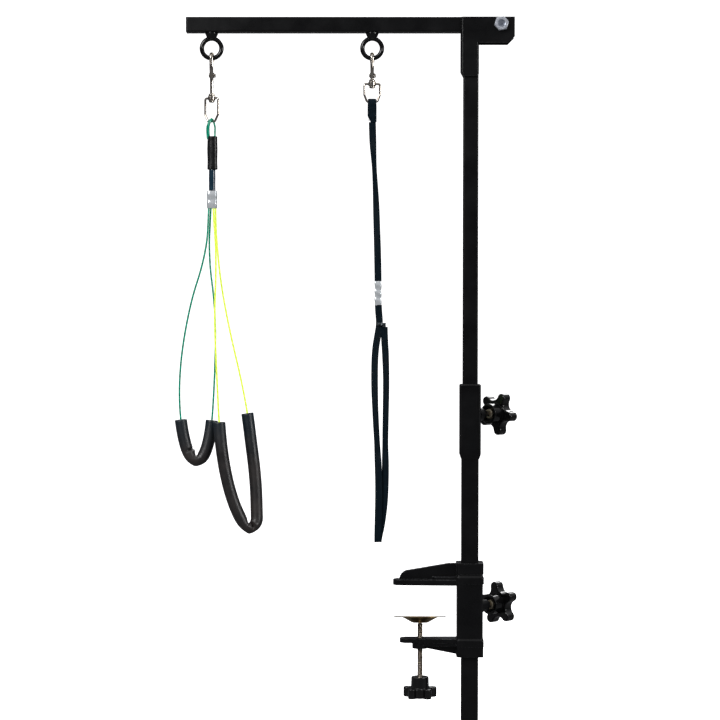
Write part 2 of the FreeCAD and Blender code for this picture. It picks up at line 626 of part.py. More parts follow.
def noose_tab():
    """The strap's end folded round the swivel ring's bar and stitched flat."""
    bar = ring_bar_height("noose")
    x = EYE_XS["inner"]
    width = 13.6
    fold = Part.makeCylinder(3.6, width, V(x - width / 2, 0, bar), RIGHT)
    half = 2.6
    length = bar - TAB_BOTTOM
    wedge = Part.makePolygon([V(x - width / 2, y, z) for y, z in
                              [(-3.5, bar - 1), (-half, bar - 9), (-half, bar - length), (half, bar - length),
                               (half, bar - 9), (3.5, bar - 1), (-3.5, bar - 1)]])
    flat = Part.Face(wedge).extrude(V(width, 0, 0))
    eye = Part.makeCylinder(2.0, width + 2, V(x - width / 2 - 1, 0, bar), RIGHT)
    return fold.fuse(flat).removeSplitter().cut(eye)


def noose_crimp():
    """A crushed metal sleeve that locks the strap, with three pressed waists on each side."""
    x = NOOSE_STRAP[-1][0]
    half_width = 5.3
    waist = 4.5
    bulges = 3
    step = (CRIMP_TOP - CRIMP_BOTTOM) / bulges
    half_depth = 3.1
    edges = []
    for side in (-1, 1):
        for i in range(bulges):
            low = CRIMP_BOTTOM + step * i
            edges.append(Part.Arc(V(x + side * waist, -half_depth, low),
                                  V(x + side * half_width, -half_depth, low + step / 2),
                                  V(x + side * waist, -half_depth, low + step)).toShape())
    for z in (CRIMP_BOTTOM, CRIMP_TOP):
        edges.append(Part.LineSegment(V(x - waist, -half_depth, z), V(x + waist, -half_depth, z)).toShape())
    wire = Part.Wire(Part.__sortEdges__(edges))
    return Part.Face(wire).extrude(V(0, 2 * half_depth, 0))


def noose_ring():
    """The sliding eyelet that the strap runs through, with the lug that holds the loop's end."""
    eyelet = turned([(3.6, -2), (5.2, -2), (5.8, -1.4), (5.8, 1.4), (5.2, 2), (3.6, 2)])
    lug = Part.makeBox(5.0, 5.4, 6.0, V(4.0, -2.7, -4.0))
    ring = eyelet.fuse(lug).cut(Part.makeCylinder(3.6, 20, V(0, 0, -10)))
    return placed(ring, V(*NOOSE_LOOP[2]))


# Holder lead

def bundle(width, depth, bottom, top, edge):
    """A rounded sleeve around several cables, softly bevelled at both ends."""
    def section(shrink, height):
        slab = rounded_bar(width - shrink, depth - shrink, (depth - shrink) / 2 - 0.1, height, height + 1)
        return min(slab.Faces, key=lambda face: face.CenterOfMass.z).OuterWire
    return Part.makeLoft([section(2 * edge, bottom), section(0, bottom + edge), section(0, top - edge),
                          section(2 * edge, top)], True, True)


def holder_sleeves():
    wide = bundle(15.6, 11, 611, 660, 1.6)
    narrow = bundle(10, 9, FERRULE_TOP, 611, 0.5)
    ferrule = bundle(15.4, 9.4, FERRULE_BOTTOM, FERRULE_TOP, 0.8)
    wide.translate(V(-306.8, 0, 0))
    narrow.translate(V(-307.2, 0, 0))
    ferrule.translate(V(-307.4, 0, 0))
    return {"holder_wide_sleeve": wide, "holder_narrow_sleeve": narrow, "holder_ferrule": ferrule}


def holder_top_loop():
    """The doubled cable that passes over the swivel ring's bar and back into the sleeve."""
    bar = ring_bar_height("holder")
    x = EYE_XS["outer"]
    top = bar + RING_WIRE + CABLE_RADIUS + 0.8
    points = [(x - 3.6, -3.2, 660), (x - 4.6, -4.2, 672), (x - 2.4, -4.6, top - 6), (x - 0.6, -2.6, top),
              (x + 1.2, 2.6, top), (x + 3.6, 4.2, top - 7), (x + 5.0, 3.6, 672), (x + 4.4, 2.8, 660)]
    return cord("holder_top_loop", points, CABLE_RADIUS)


def foam(points, runs, middle_x, tops):
    """A foam tube threaded on a cable between two of its runs, cut off level at each top end."""
    first, last = runs
    stretch = route_edges(points)[0][2 * first:2 * last + 1]
    tube = swept(stretch, FOAM_RADIUS).cut(swept(stretch, FOAM_BORE))
    left_top, right_top = tops
    tube = tube.cut(Part.makeBox(100, 100, 100, V(middle_x - 100, -50, left_top)))
    return tube.cut(Part.makeBox(100, 100, 100, V(middle_x, -50, right_top)))


def main():
    os.makedirs("parts", exist_ok=True)
    parts = {"clamp_body": clamp_body(), "clamp_screw": clamp_screw(), "pad_retainer": pad_retainer(),
             "pressure_pad": pressure_pad(), "screw_knob": screw_knob()}
    parts.update(set_screw_parts("clamp", CLAMP_SCREW_Z, 16.9, 42.0, 0))
    parts.update(set_screw_parts("sleeve", SLEEVE_SCREW_Z, 14.85, 39.0, 36))
    parts.update({"lower_post": lower_post(), "post_sleeve": post_sleeve(),
                  "lower_post_plug": lower_post_plug(),
                  "upper_post": upper_post(), "arm_bracket": arm_bracket(), "pivot_bolt": pivot_bolt(),
                  "pivot_nut": pivot_nut(), "arm_tube": arm_tube(), "arm_end_plug": arm_end_plug(),
                  "eyebolt_outer": eyebolt(EYE_XS["outer"]), "eyebolt_inner": eyebolt(EYE_XS["inner"]),
                  "eyebolt_nuts": eyebolt_nuts()})
    parts["bracket_welds"] = bracket_welds(parts["arm_bracket"], parts["upper_post"])
    for name in HOOKS:
        parts.update(hook_parts(name))
    parts.update({"noose_tab": noose_tab(), "noose_crimp": noose_crimp(), "noose_ring": noose_ring(),
                  "noose_strap": cord("noose_strap", NOOSE_STRAP, STRAP_RADIUS),
                  "noose_loop": cord("noose_loop", NOOSE_LOOP, STRAP_RADIUS)})
    parts.update(holder_sleeves())
    parts.update({"holder_top_loop": holder_top_loop(),
                  "cable_green": cord("cable_green", CABLE_GREEN, CABLE_RADIUS),
                  "cable_yellow": cord("cable_yellow", CABLE_YELLOW, CABLE_RADIUS),
                  "foam_short": foam(CABLE_GREEN, **FOAM_SHORT),
                  "foam_long": foam(CABLE_YELLOW, **FOAM_LONG)})
    for name, shape in parts.items():
        shape.exportStep(f"parts/{name}.step")
        print(f"{name}: {len(shape.Solids)} solid, valid {shape.isValid()}, {shape.Volume:.0f} mm3")


main()
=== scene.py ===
# %% [markdown]
# # A clamp-on grooming arm
# The object is a steel arm that a pet groomer clamps to the edge of a table. Two square
# tubes slide one in the other to make the post, a third folds out on a bolt to make the
# arm, and two leads hang from eyes under it: a nylon noose, and a holder of two foam
# covered cable loops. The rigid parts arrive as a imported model, the frame, with every
# piece already in its place. This script gives them finishes, and builds the soft and
# fine pieces that a plain solid cannot show. All sizes are in metres.

# %% Load the frame
import itertools
import json
import math

import bmesh
import bpy
from mathutils import Matrix, Vector


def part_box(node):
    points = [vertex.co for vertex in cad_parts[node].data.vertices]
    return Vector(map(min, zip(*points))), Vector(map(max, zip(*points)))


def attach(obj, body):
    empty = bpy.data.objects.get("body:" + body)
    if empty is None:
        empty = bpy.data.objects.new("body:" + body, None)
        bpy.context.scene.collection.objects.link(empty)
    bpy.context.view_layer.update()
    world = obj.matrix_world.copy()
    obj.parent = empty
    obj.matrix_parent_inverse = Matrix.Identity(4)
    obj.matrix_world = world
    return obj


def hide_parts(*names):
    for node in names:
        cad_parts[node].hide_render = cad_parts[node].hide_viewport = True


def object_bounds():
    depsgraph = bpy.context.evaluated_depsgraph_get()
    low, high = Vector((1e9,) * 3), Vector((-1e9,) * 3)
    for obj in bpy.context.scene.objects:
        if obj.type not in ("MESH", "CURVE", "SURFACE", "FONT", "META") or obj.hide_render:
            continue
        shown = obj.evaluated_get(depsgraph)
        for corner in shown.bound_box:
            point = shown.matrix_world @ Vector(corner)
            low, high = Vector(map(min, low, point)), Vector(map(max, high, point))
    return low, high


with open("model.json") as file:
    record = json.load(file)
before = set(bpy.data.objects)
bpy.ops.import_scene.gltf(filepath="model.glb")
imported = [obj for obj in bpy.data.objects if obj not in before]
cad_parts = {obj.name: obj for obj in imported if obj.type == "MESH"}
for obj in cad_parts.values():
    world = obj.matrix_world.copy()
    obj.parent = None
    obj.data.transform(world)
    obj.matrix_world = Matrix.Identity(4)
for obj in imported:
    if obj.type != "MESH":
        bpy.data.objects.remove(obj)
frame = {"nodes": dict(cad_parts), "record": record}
nodes = frame["nodes"]
cad_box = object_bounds()

# %% [markdown]
# ## Camera
# A product like this is shot from far away with a long lens, so that its square tubes
# stay square. The camera stands three metres back, a little above the middle of the
# object, and looks down by one degree.

# %% Camera
CAMERA_AT = Vector((-0.060, -3.029, 0.388))
TURN_LEFT = math.radians(0.553)
TILT_DOWN = math.radians(1.076)
ROLL = math.radians(0.082)
LENS = 102.8

lens_data = bpy.data.cameras.new("product_camera")
lens_data.lens = LENS
lens_data.sensor_width = 36.0
camera = bpy.data.objects.new("product_camera", lens_data)
bpy.context.scene.collection.objects.link(camera)
swing = Matrix.Rotation(TURN_LEFT, 4, "Z")
lean = Matrix.Rotation(math.radians(90) - TILT_DOWN, 4, "X")
camera.matrix_world = Matrix.Translation(CAMERA_AT) @ swing @ lean @ Matrix.Rotation(ROLL, 4, "Z")
bpy.context.scene.camera = camera
print("camera at", [round(v, 3) for v in camera.location])

# %% [markdown]
# ## Lines that the soft pieces follow
# A cord is one smooth NURBS spline through its route's control points. Everything that
# lies on the cord, its jacket, a strap's flat section or a foam tube, follows points read
# back from that same spline, so that they all stay together.

# %% A line to build along
MM = 0.001
STEP = 0.002
POINTS_PER_SPAN = 24


class Line:
    """The points of one smooth spline, with a frame that never spins about it."""

    def __init__(self, name, route, start_side=(0, 1, 0)):
        curve = bpy.data.curves.new(name, "CURVE")
        curve.dimensions = "3D"
        curve.resolution_u = POINTS_PER_SPAN
        spline = curve.splines.new("NURBS")
        spline.points.add(len(route) - 1)
        for point, place in zip(spline.points, route):
            point.co = (*[v * MM for v in place], 1)
        spline.order_u = 3
        spline.use_endpoint_u = True
        carrier = bpy.data.objects.new(name, curve)
        read = bpy.data.meshes.new_from_object(carrier)
        self.points = [v.co.copy() for v in read.vertices]
        bpy.data.objects.remove(carrier)
        bpy.data.meshes.remove(read)
        self.distances = [0.0]
        for a, b in zip(self.points, self.points[1:]):
            self.distances.append(self.distances[-1] + (b - a).length)
        self.length = self.distances[-1]
        self.tangents = []
        for i in range(len(self.points)):
            a, b = self.points[max(i - 1, 0)], self.points[min(i + 1, len(self.points) - 1)]
            self.tangents.append((b - a).normalized())
        side = Vector(start_side)
        self.sides = []
        for tangent in self.tangents:
            side = (side - side.dot(tangent) * tangent).normalized()
            self.sides.append(side)

    def at(self, distance):
        """Place, direction and side at a distance along the line."""
        last = len(self.points) - 1
        distance = min(max(distance, 0.0), self.length)
        low, high = 0, last
        while high - low > 1:
            middle = (low + high) // 2
            if self.distances[middle] <= distance:
                low = middle
            else:
                high = middle
        span = self.distances[high] - self.distances[low]
        t = (distance - self.distances[low]) / span if span else 0.0
        place = self.points[low].lerp(self.points[high], t)
        tangent = self.tangents[low].lerp(self.tangents[high], t).normalized()
        side = self.sides[low].lerp(self.sides[high], t)
        side = (side - side.dot(tangent) * tangent).normalized()
        return place, tangent, side

    def distance_at_height(self, z, from_end=False):
        """How far along the line first passes the height z, from either end."""
        order = range(len(self.points) - 1)
        if from_end:
            order = reversed(order)
        for i in order:
            a, b = self.points[i].z, self.points[i + 1].z
            if (a - z) * (b - z) <= 0 and a != b:
                share = (a - z) / (a - b)
                return self.distances[i] + share * (self.distances[i + 1] - self.distances[i])
        raise ValueError(f"no height {z} on this line")


print("a line reads its route in millimetres and keeps its points in metres")

# %% [markdown]
# ## Shared effects
# Real surfaces share a few effects: edges worn bright and given a painted highlight, cloudy
# changes of gloss, a fine grain, and dust on what faces up. Each effect is a shader node group
# that puts out a mask, a value or a normal. The materials then differ only in their numbers.

# %% Helpers for nodes
def place(tree, kind, inputs=(), **settings):
    """Add a node, set its options, and give its sockets a value or a link."""
    added = tree.nodes.new(kind)
    for key, value in settings.items():
        setattr(added, key, value)
    for key, value in dict(inputs).items():
        if isinstance(value, bpy.types.NodeSocket):
            tree.links.new(value, added.inputs[key])
        else:
            added.inputs[key].default_value = value
    return added


def maths(tree, operation, a, b=0.0, clamp=False):
    """One sum on two values, each a number or a socket."""
    sockets = {0: a, 1: b}
    return place(tree, "ShaderNodeMath", sockets, operation=operation, use_clamp=clamp).outputs[0]


def blend_colours(tree, share, a, b):
    """Colour a where share is 0, colour b where it is 1."""
    return place(tree, "ShaderNodeMix", {0: share, 6: a, 7: b}, data_type="RGBA").outputs[2]


def rescale(tree, value, low, high, to_low=0.0, to_high=1.0):
    """Stretch a value from one range to another, and stop it at both ends."""
    sockets = {0: value, 1: low, 2: high, 3: to_low, 4: to_high}
    return place(tree, "ShaderNodeMapRange", sockets).outputs[0]


def effect(name, inputs, outputs):
    """An empty node group with number inputs and the outputs named."""
    group = bpy.data.node_groups.new(name, "ShaderNodeTree")
    for title, value in inputs:
        socket = group.interface.new_socket(title, in_out="INPUT", socket_type="NodeSocketFloat")
        socket.default_value = value
    for title, kind in outputs:
        group.interface.new_socket(title, in_out="OUTPUT", socket_type=kind)
    return group, group.nodes.new("NodeGroupInput"), group.nodes.new("NodeGroupOutput")


print("node helpers ready")


# %% [markdown]
# ### Worn and highlit edges
# Paint and plating wear off first where two faces meet, and there light also catches in a
# thin line. A Bevel node gives the normal of a slightly rounded edge, and where that differs
# from the flat face there is an edge. The colour put there is wear and a painted highlight
# at once. Real bevels would add many faces to every tube, so the shader finds the edges
# instead, and a noise breaks the mask up. The rounded normal is passed on, so corners also catch
# light.

# %% Worn and highlit edges
wear_and_highlight_edges, start, end = effect(
    "wear_and_highlight_edges", [("Radius", 0.0006), ("Breakup", 400.0)],
    [("Mask", "NodeSocketFloat"), ("Normal", "NodeSocketVector")])
rounded = place(wear_and_highlight_edges, "ShaderNodeBevel", {"Radius": start.outputs["Radius"]},
                samples=6).outputs[0]
flat_face = place(wear_and_highlight_edges, "ShaderNodeNewGeometry").outputs["Normal"]
alike = place(wear_and_highlight_edges, "ShaderNodeVectorMath", {0: rounded, 1: flat_face},
              operation="DOT_PRODUCT").outputs["Value"]
turning = rescale(wear_and_highlight_edges, maths(wear_and_highlight_edges, "SUBTRACT", 1.0, alike), 0.02, 0.16)
where = place(wear_and_highlight_edges, "ShaderNodeTexCoord").outputs["Object"]
patches = place(wear_and_highlight_edges, "ShaderNodeTexNoise",
                {"Vector": where, "Scale": start.outputs["Breakup"], "Detail": 4.0}).outputs["Fac"]
wear_and_highlight_mask = maths(wear_and_highlight_edges, "MULTIPLY", turning, rescale(wear_and_highlight_edges, patches, 0.42, 0.66))
wear_and_highlight_edges.links.new(wear_and_highlight_mask, end.inputs["Mask"])
wear_and_highlight_edges.links.new(rounded, end.inputs["Normal"])
print(wear_and_highlight_edges.name, "has", len(wear_and_highlight_edges.nodes), "nodes")

# %% [markdown]
# ### Mottle
# No real surface has one even colour. Slow clouds move the colour and the gloss a little,
# and a much finer noise is the grain that the bump uses. Both are noises on the object's
# own coordinates, so they need no map and stay put when a piece moves.

# %% Mottle
mottle, start, end = effect(
    "mottle", [("Cloud Scale", 40.0), ("Grain Scale", 1200.0)],
    [("Cloud", "NodeSocketFloat"), ("Grain", "NodeSocketFloat")])
where = place(mottle, "ShaderNodeTexCoord").outputs["Object"]
cloud = place(mottle, "ShaderNodeTexNoise",
              {"Vector": where, "Scale": start.outputs["Cloud Scale"], "Detail": 5.0,
               "Roughness": 0.6}).outputs["Fac"]
grain = place(mottle, "ShaderNodeTexNoise",
              {"Vector": where, "Scale": start.outputs["Grain Scale"], "Detail": 3.0}).outputs["Fac"]
mottle.links.new(rescale(mottle, cloud, 0.3, 0.7), end.inputs["Cloud"])
mottle.links.new(grain, end.inputs["Grain"])
print(mottle.name, "has", len(mottle.nodes), "nodes")

# %% [markdown]
# ### Settled dust
# Hair and dust lie on what faces up, in soft patches. The face's own normal says how far
# up it looks, and a noise makes the patches. It is kept very faint, as the arm is clean.

# %% Settled dust
settled_dust, start, end = effect("settled_dust", [("Amount", 0.5)], [("Mask", "NodeSocketFloat")])
facing = place(settled_dust, "ShaderNodeNewGeometry").outputs["Normal"]
upward = place(settled_dust, "ShaderNodeSeparateXYZ", {0: facing}).outputs["Z"]
where = place(settled_dust, "ShaderNodeTexCoord").outputs["Object"]
drift = place(settled_dust, "ShaderNodeTexNoise",
              {"Vector": where, "Scale": 90.0, "Detail": 6.0}).outputs["Fac"]
level_enough = rescale(settled_dust, upward, 0.3, 1.0)
lying = maths(settled_dust, "MULTIPLY", level_enough, rescale(settled_dust, drift, 0.4, 0.75))
film = maths(settled_dust, "MULTIPLY", lying, start.outputs["Amount"])
settled_dust.links.new(film, end.inputs["Mask"])
print(settled_dust.name, "has", len(settled_dust.nodes), "nodes")

# %% [markdown]
# ### Webbing
# A nylon strap is woven: threads along it pass over and under threads across it. Two sine
# waves on the strap's map in metres give the two sets of threads, and their product says
# which set is on top. Modelling each thread would take a million faces.

# %% Webbing
webbing, start, end = effect("webbing", [("Thread", 0.0009)], [("Height", "NodeSocketFloat")])
on_map = place(webbing, "ShaderNodeTexCoord").outputs["UV"]
across = place(webbing, "ShaderNodeSeparateXYZ", {0: on_map})
per_metre = maths(webbing, "DIVIDE", math.pi, start.outputs["Thread"])
warp_wave = maths(webbing, "SINE", maths(webbing, "MULTIPLY", across.outputs["X"], per_metre))
weft_wave = maths(webbing, "SINE", maths(webbing, "MULTIPLY", across.outputs["Y"], per_metre))
over = maths(webbing, "GREATER_THAN", maths(webbing, "MULTIPLY", warp_wave, weft_wave), 0.0)
warp_part = maths(webbing, "MULTIPLY", maths(webbing, "ABSOLUTE", warp_wave), over)
under = maths(webbing, "SUBTRACT", 1.0, over)
weft_part = maths(webbing, "MULTIPLY", maths(webbing, "ABSOLUTE", weft_wave), under)
webbing.links.new(maths(webbing, "ADD", warp_part, weft_part), end.inputs["Height"])
print(webbing.name, "has", len(webbing.nodes), "nodes")

# %% [markdown]
# ### Twisted wires
# Inside each cable's tinted jacket lies a rope of twisted wires. A sine wave that runs round
# and along the cable at once makes their slope. The jacket hides all but a hint of it, so
# a pattern on the cable's map in metres does, without wires of its own.

# %% Twisted wires
twisted_wires, start, end = effect(
    "twisted_wires", [("Around", 900.0), ("Along", 700.0)], [("Height", "NodeSocketFloat")])
on_map = place(twisted_wires, "ShaderNodeTexCoord").outputs["UV"]
across = place(twisted_wires, "ShaderNodeSeparateXYZ", {0: on_map})
by_turn = maths(twisted_wires, "MULTIPLY", across.outputs["X"], start.outputs["Around"])
by_length = maths(twisted_wires, "MULTIPLY", across.outputs["Y"], start.outputs["Along"])
lay = maths(twisted_wires, "SINE", maths(twisted_wires, "ADD", by_turn, by_length))
twisted_wires.links.new(rescale(twisted_wires, lay, -1.0, 1.0), end.inputs["Height"])
print(twisted_wires.name, "has", len(twisted_wires.nodes), "nodes")

# %% [markdown]
# ### Turned lines
# Spinning a sheet of metal to a dish leaves fine rings round its axis. The pressure pad is
# spun about Z, so one noise that reads only the distance from that axis, plus the height,
# draws rings of uneven strength. An image of rings would blur up close.

# %% Turned lines
turned_lines, start, end = effect(
    "turned_lines", [("Lines", 2500.0)], [("Height", "NodeSocketFloat")])
where = place(turned_lines, "ShaderNodeTexCoord").outputs["Object"]
level = place(turned_lines, "ShaderNodeVectorMath", {0: where, 1: (1.0, 1.0, 0.0)},
              operation="MULTIPLY").outputs[0]
out_from_axis = place(turned_lines, "ShaderNodeVectorMath", {0: level},
                      operation="LENGTH").outputs["Value"]
height = place(turned_lines, "ShaderNodeSeparateXYZ", {0: where}).outputs["Z"]
outward_and_up = maths(turned_lines, "ADD", out_from_axis, height)
ring_number = maths(turned_lines, "MULTIPLY", outward_and_up, start.outputs["Lines"])
rings = place(turned_lines, "ShaderNodeTexNoise", {"W": ring_number, "Scale": 1.0, "Detail": 2.0},
              noise_dimensions="1D")
turned_lines.links.new(rings.outputs["Fac"], end.inputs["Height"])
print("effects:", sorted(g.name for g in bpy.data.node_groups))

# %% [markdown]
# ## Finishes
# One function wires a Principled surface to the shared effects. A finish names its
# colour, the colour it drifts to, its gloss, the size and depth of its grain, and the colour
# its edges take, for wear and as a painted highlight. A second height, such as a weave, can
# be added, with painted shade in its low parts.
#
# Two more inputs are for pieces this small. Polished metal mirrors the dark of the room at
# its grazing edges, and rim paints that dark reflection into its colour there. A fluorescent
# jacket is lifted by glow, a painted light: emission in its own colour.
#
# The imported model comes with plain materials under the same names. They are renamed first,
# so that each name used below is the finish made here.

# %% Make a finish
DUST = (0.30, 0.29, 0.27, 1.0)
DUST_ROUGHNESS = 0.4
PAINTED_DARK_REFLECTION = (0.015, 0.014, 0.013, 1.0)
DARK_EDGE_GLOSS = (0.25, 0.24, 0.22, 1.0)
COAT_ROUGHNESS = 0.08
SHEEN_ROUGHNESS = 0.4
FINISHES = {}

for plain in list(bpy.data.materials):
    plain.name = "packed_" + plain.name


def finish(name, colour, drift, roughness, spread=0.08, grain=1200.0, depth=0.00002, cloud=40.0,
           edge_wear_and_highlight=None, radius=0.0006, dust=0.0, metallic=0.0, specular=0.5, coat=0.0, sheen=0.0,
           rim=0.0, glow=0.0, extra=None, extra_depth=0.0002, shade_in_grooves=0.0):
    """A Principled material with drifting colour and gloss, fine grain, edges worn and painted with a
    highlight, and dust.
    """
    material = bpy.data.materials.new(name)
    material.use_nodes = True
    tree = material.node_tree
    surface = tree.nodes["Principled BSDF"]
    clouds = place(tree, "ShaderNodeGroup", node_tree=mottle)
    clouds.inputs["Cloud Scale"].default_value = cloud
    clouds.inputs["Grain Scale"].default_value = grain
    edges = place(tree, "ShaderNodeGroup", node_tree=wear_and_highlight_edges)
    edges.inputs["Radius"].default_value = radius
    tint = blend_colours(tree, clouds.outputs["Cloud"], (*colour, 1.0), (*drift, 1.0))
    gloss = rescale(tree, clouds.outputs["Cloud"], 0.0, 1.0, roughness - spread, roughness + spread)
    normal = place(tree, "ShaderNodeBump", {
        "Height": clouds.outputs["Grain"], "Distance": depth,
        "Normal": edges.outputs["Normal"]}).outputs[0]
    if extra is not None:
        pattern = place(tree, "ShaderNodeGroup", node_tree=extra)
        normal = place(tree, "ShaderNodeBump", {
            "Height": pattern.outputs["Height"], "Distance": extra_depth,
            "Normal": normal}).outputs[0]
        # Painted shade: the low parts of the second height, between threads and wires, are darkened.
        if shade_in_grooves:
            darker = tuple(c * (1 - shade_in_grooves) for c in colour)
            low = maths(tree, "SUBTRACT", 1.0, pattern.outputs["Height"])
            tint = blend_colours(tree, low, tint, (*darker, 1.0))
    # The edge colour is wear and a painted highlight along the edges.
    if edge_wear_and_highlight is not None:
        tint = blend_colours(tree, edges.outputs["Mask"], tint, (*edge_wear_and_highlight, 1.0))
    # Painted reflection: grazing edges take a dark colour for the dark room they would mirror.
    if rim:
        grazing = place(tree, "ShaderNodeLayerWeight", {"Blend": 0.4}).outputs["Facing"]
        edge_on = rescale(tree, grazing, 0.25, 0.85, 0.0, rim)
        tint = blend_colours(tree, edge_on, tint, PAINTED_DARK_REFLECTION)
        surface.inputs["Specular Tint"].default_value = DARK_EDGE_GLOSS
    if dust:
        settled = place(tree, "ShaderNodeGroup", {"Amount": dust}, node_tree=settled_dust)
        film = settled.outputs["Mask"]
        tint = blend_colours(tree, film, tint, DUST)
        gloss = maths(tree, "ADD", gloss, maths(tree, "MULTIPLY", film, DUST_ROUGHNESS), clamp=True)
    tree.links.new(tint, surface.inputs["Base Color"])
    tree.links.new(gloss, surface.inputs["Roughness"])
    tree.links.new(normal, surface.inputs["Normal"])
    # Painted light: emission in the finish's own colour, which shines whatever the lamps do.
    if glow:
        tree.links.new(tint, surface.inputs["Emission Color"])
        surface.inputs["Emission Strength"].default_value = glow
    surface.inputs["Metallic"].default_value = metallic
    surface.inputs["Specular IOR Level"].default_value = specular
    surface.inputs["Coat Weight"].default_value = coat
    surface.inputs["Coat Roughness"].default_value = COAT_ROUGHNESS
    surface.inputs["Sheen Weight"].default_value = sheen
    surface.inputs["Sheen Roughness"].default_value = SHEEN_ROUGHNESS
    FINISHES[name] = material
    return material


print("packed materials renamed:", sum(m.name.startswith("packed_") for m in bpy.data.materials))

# %% [markdown]
# ### Black paint
# The tubes, jaws and sleeve are powder coated: a thick, nearly black skin with a faint
# orange peel, worn to dark grey at its edges, and that grey is also a painted highlight along
# them. The two eyebolts are dipped in a smoother enamel. Both could be one plain black, but
# then the tubes would look like flat card.

# %% Black paint
# The powder coat's grey edge colour is wear and a painted highlight along the edges.
finish("black_powder_coat", (0.0024, 0.0024, 0.0028), (0.0050, 0.0050, 0.0056), 0.30, spread=0.07,
       grain=900.0, depth=0.00006, cloud=25.0, edge_wear_and_highlight=(0.110, 0.115, 0.122), radius=0.0013, dust=0.02,
       specular=0.30)
finish("gloss_enamel", (0.0020, 0.0020, 0.0024), (0.0040, 0.0040, 0.0046), 0.12, spread=0.04,
       grain=500.0, depth=0.00004, cloud=90.0, edge_wear_and_highlight=(0.05, 0.05, 0.052), radius=0.0012, specular=0.5)
print("finishes so far:", len(FINISHES))

# %% [markdown]
# ### Plated and bare metal
# The clamp's screw is dull nickel plate. The hooks are cast in soft metal and plated bright,
# so their shine wanders. The crushed sleeves are bare aluminium. The bolt is zinc plated and
# has lost its plating in the dish of its head, and the noose's eyelet is dark.
# One metal for all would be simpler, but these pieces differ most in how they shine.

# %% Steel, zinc and aluminium
finish("nickel_steel", (0.52, 0.46, 0.39), (0.30, 0.25, 0.20), 0.28, spread=0.10, grain=2500.0,
       depth=0.00001, cloud=160.0, edge_wear_and_highlight=(0.80, 0.76, 0.70), radius=0.0003, metallic=1.0, rim=0.55)
finish("bright_nickel", (0.80, 0.77, 0.71), (0.40, 0.33, 0.26), 0.14, spread=0.06, grain=250.0,
       depth=0.00002, cloud=260.0, edge_wear_and_highlight=(0.92, 0.90, 0.86), radius=0.0004, metallic=1.0, rim=0.85)
finish("bright_aluminium", (0.94, 0.97, 0.99), (0.70, 0.76, 0.80), 0.20, spread=0.08, grain=500.0,
       depth=0.00006, cloud=300.0, edge_wear_and_highlight=(0.95, 0.95, 0.95), radius=0.0004, metallic=0.35,
       specular=1.0, rim=0.35)
# The bolt's white edge colour is a painted highlight round the rim of its head.
finish("zinc_bolt", (0.92, 0.95, 1.0), (0.22, 0.25, 0.33), 0.34, spread=0.12, grain=700.0,
       depth=0.00010, cloud=520.0, edge_wear_and_highlight=(1.0, 1.0, 1.0), radius=0.0011, metallic=0.25, specular=1.0)
worn_zinc = finish("worn_zinc", (0.42, 0.46, 0.54), (0.035, 0.045, 0.075), 0.30, spread=0.10,
                   grain=900.0, depth=0.00012, cloud=700.0, edge_wear_and_highlight=(0.8, 0.84, 0.9), radius=0.0004,
                   metallic=0.5, specular=0.8)
finish("dark_eyelet", (0.030, 0.045, 0.055), (0.25, 0.28, 0.30), 0.30, spread=0.10, grain=800.0,
       depth=0.00003, cloud=500.0, edge_wear_and_highlight=(0.7, 0.75, 0.78), radius=0.0004, metallic=1.0)
print("finishes so far:", len(FINISHES))

# %% [markdown]
# ### Brass
# The pressure pad is yellow and dull, with spun rings. The knobs have a small pale brass
# bush in the middle. A ready metal from a library would be too clean and too golden.

# %% Brass
finish("yellow_brass", (0.42, 0.30, 0.13), (0.26, 0.17, 0.07), 0.34, spread=0.10, grain=1800.0,
       depth=0.00001, cloud=60.0, edge_wear_and_highlight=(0.70, 0.58, 0.36), radius=0.0004, metallic=1.0,
       extra=turned_lines, extra_depth=0.00004)
finish("brass_insert", (0.76, 0.68, 0.50), (0.58, 0.50, 0.36), 0.22, grain=2500.0, depth=0.00001,
       cloud=300.0, edge_wear_and_highlight=(0.9, 0.85, 0.7), radius=0.0003, metallic=0.6)
print("finishes so far:", len(FINISHES))

# %% [markdown]
# ### Moulded plastic
# The knobs are moulded in a polished tool, so they are smooth under a thin coat of gloss.
# The end plugs are rough and a little greyer. Gloss is all that tells them from the paint,
# and it is set on the shader, not painted in.

# %% Moulded plastic
finish("black_knob_plastic", (0.0030, 0.0030, 0.0034), (0.0055, 0.0055, 0.0060), 0.16, spread=0.05,
       grain=300.0, depth=0.00003, cloud=120.0, edge_wear_and_highlight=(0.03, 0.03, 0.03), radius=0.0012, dust=0.01,
       specular=0.25, coat=0.5)
finish("black_plug_plastic", (0.012, 0.012, 0.013), (0.020, 0.020, 0.021), 0.5, grain=1500.0,
       depth=0.00005, edge_wear_and_highlight=(0.06, 0.06, 0.06), dust=0.1, specular=0.3)
print("finishes so far:", len(FINISHES))

# %% [markdown]
# ### Cable jackets
# Each cable is wire rope in a fluorescent jacket. The twist shows through as a faint slope
# of light and dark, the dark partly painted shade in its grooves, and a painted glow, an
# emission in the jacket's own colour, lifts the colour.

# %% Cable jackets
finish("green_cable_jacket", (0.004, 0.24, 0.14), (0.010, 0.32, 0.20), 0.22, spread=0.05,
       grain=900.0, cloud=120.0, coat=0.4, extra=twisted_wires, extra_depth=0.00012,
       shade_in_grooves=0.35, glow=0.55)
finish("yellow_cable_jacket", (0.62, 0.80, 0.05), (0.80, 0.93, 0.13), 0.24, spread=0.05,
       grain=900.0, cloud=120.0, coat=0.4, extra=twisted_wires, extra_depth=0.00012,
       shade_in_grooves=0.15, glow=0.75)
print("finishes so far:", len(FINISHES))

# %% [markdown]
# ### Sleeves
# The two plastic sleeves over the cable joints are shrunk on with heat, and stay shiny. The
# upper one is black and the lower one navy blue.

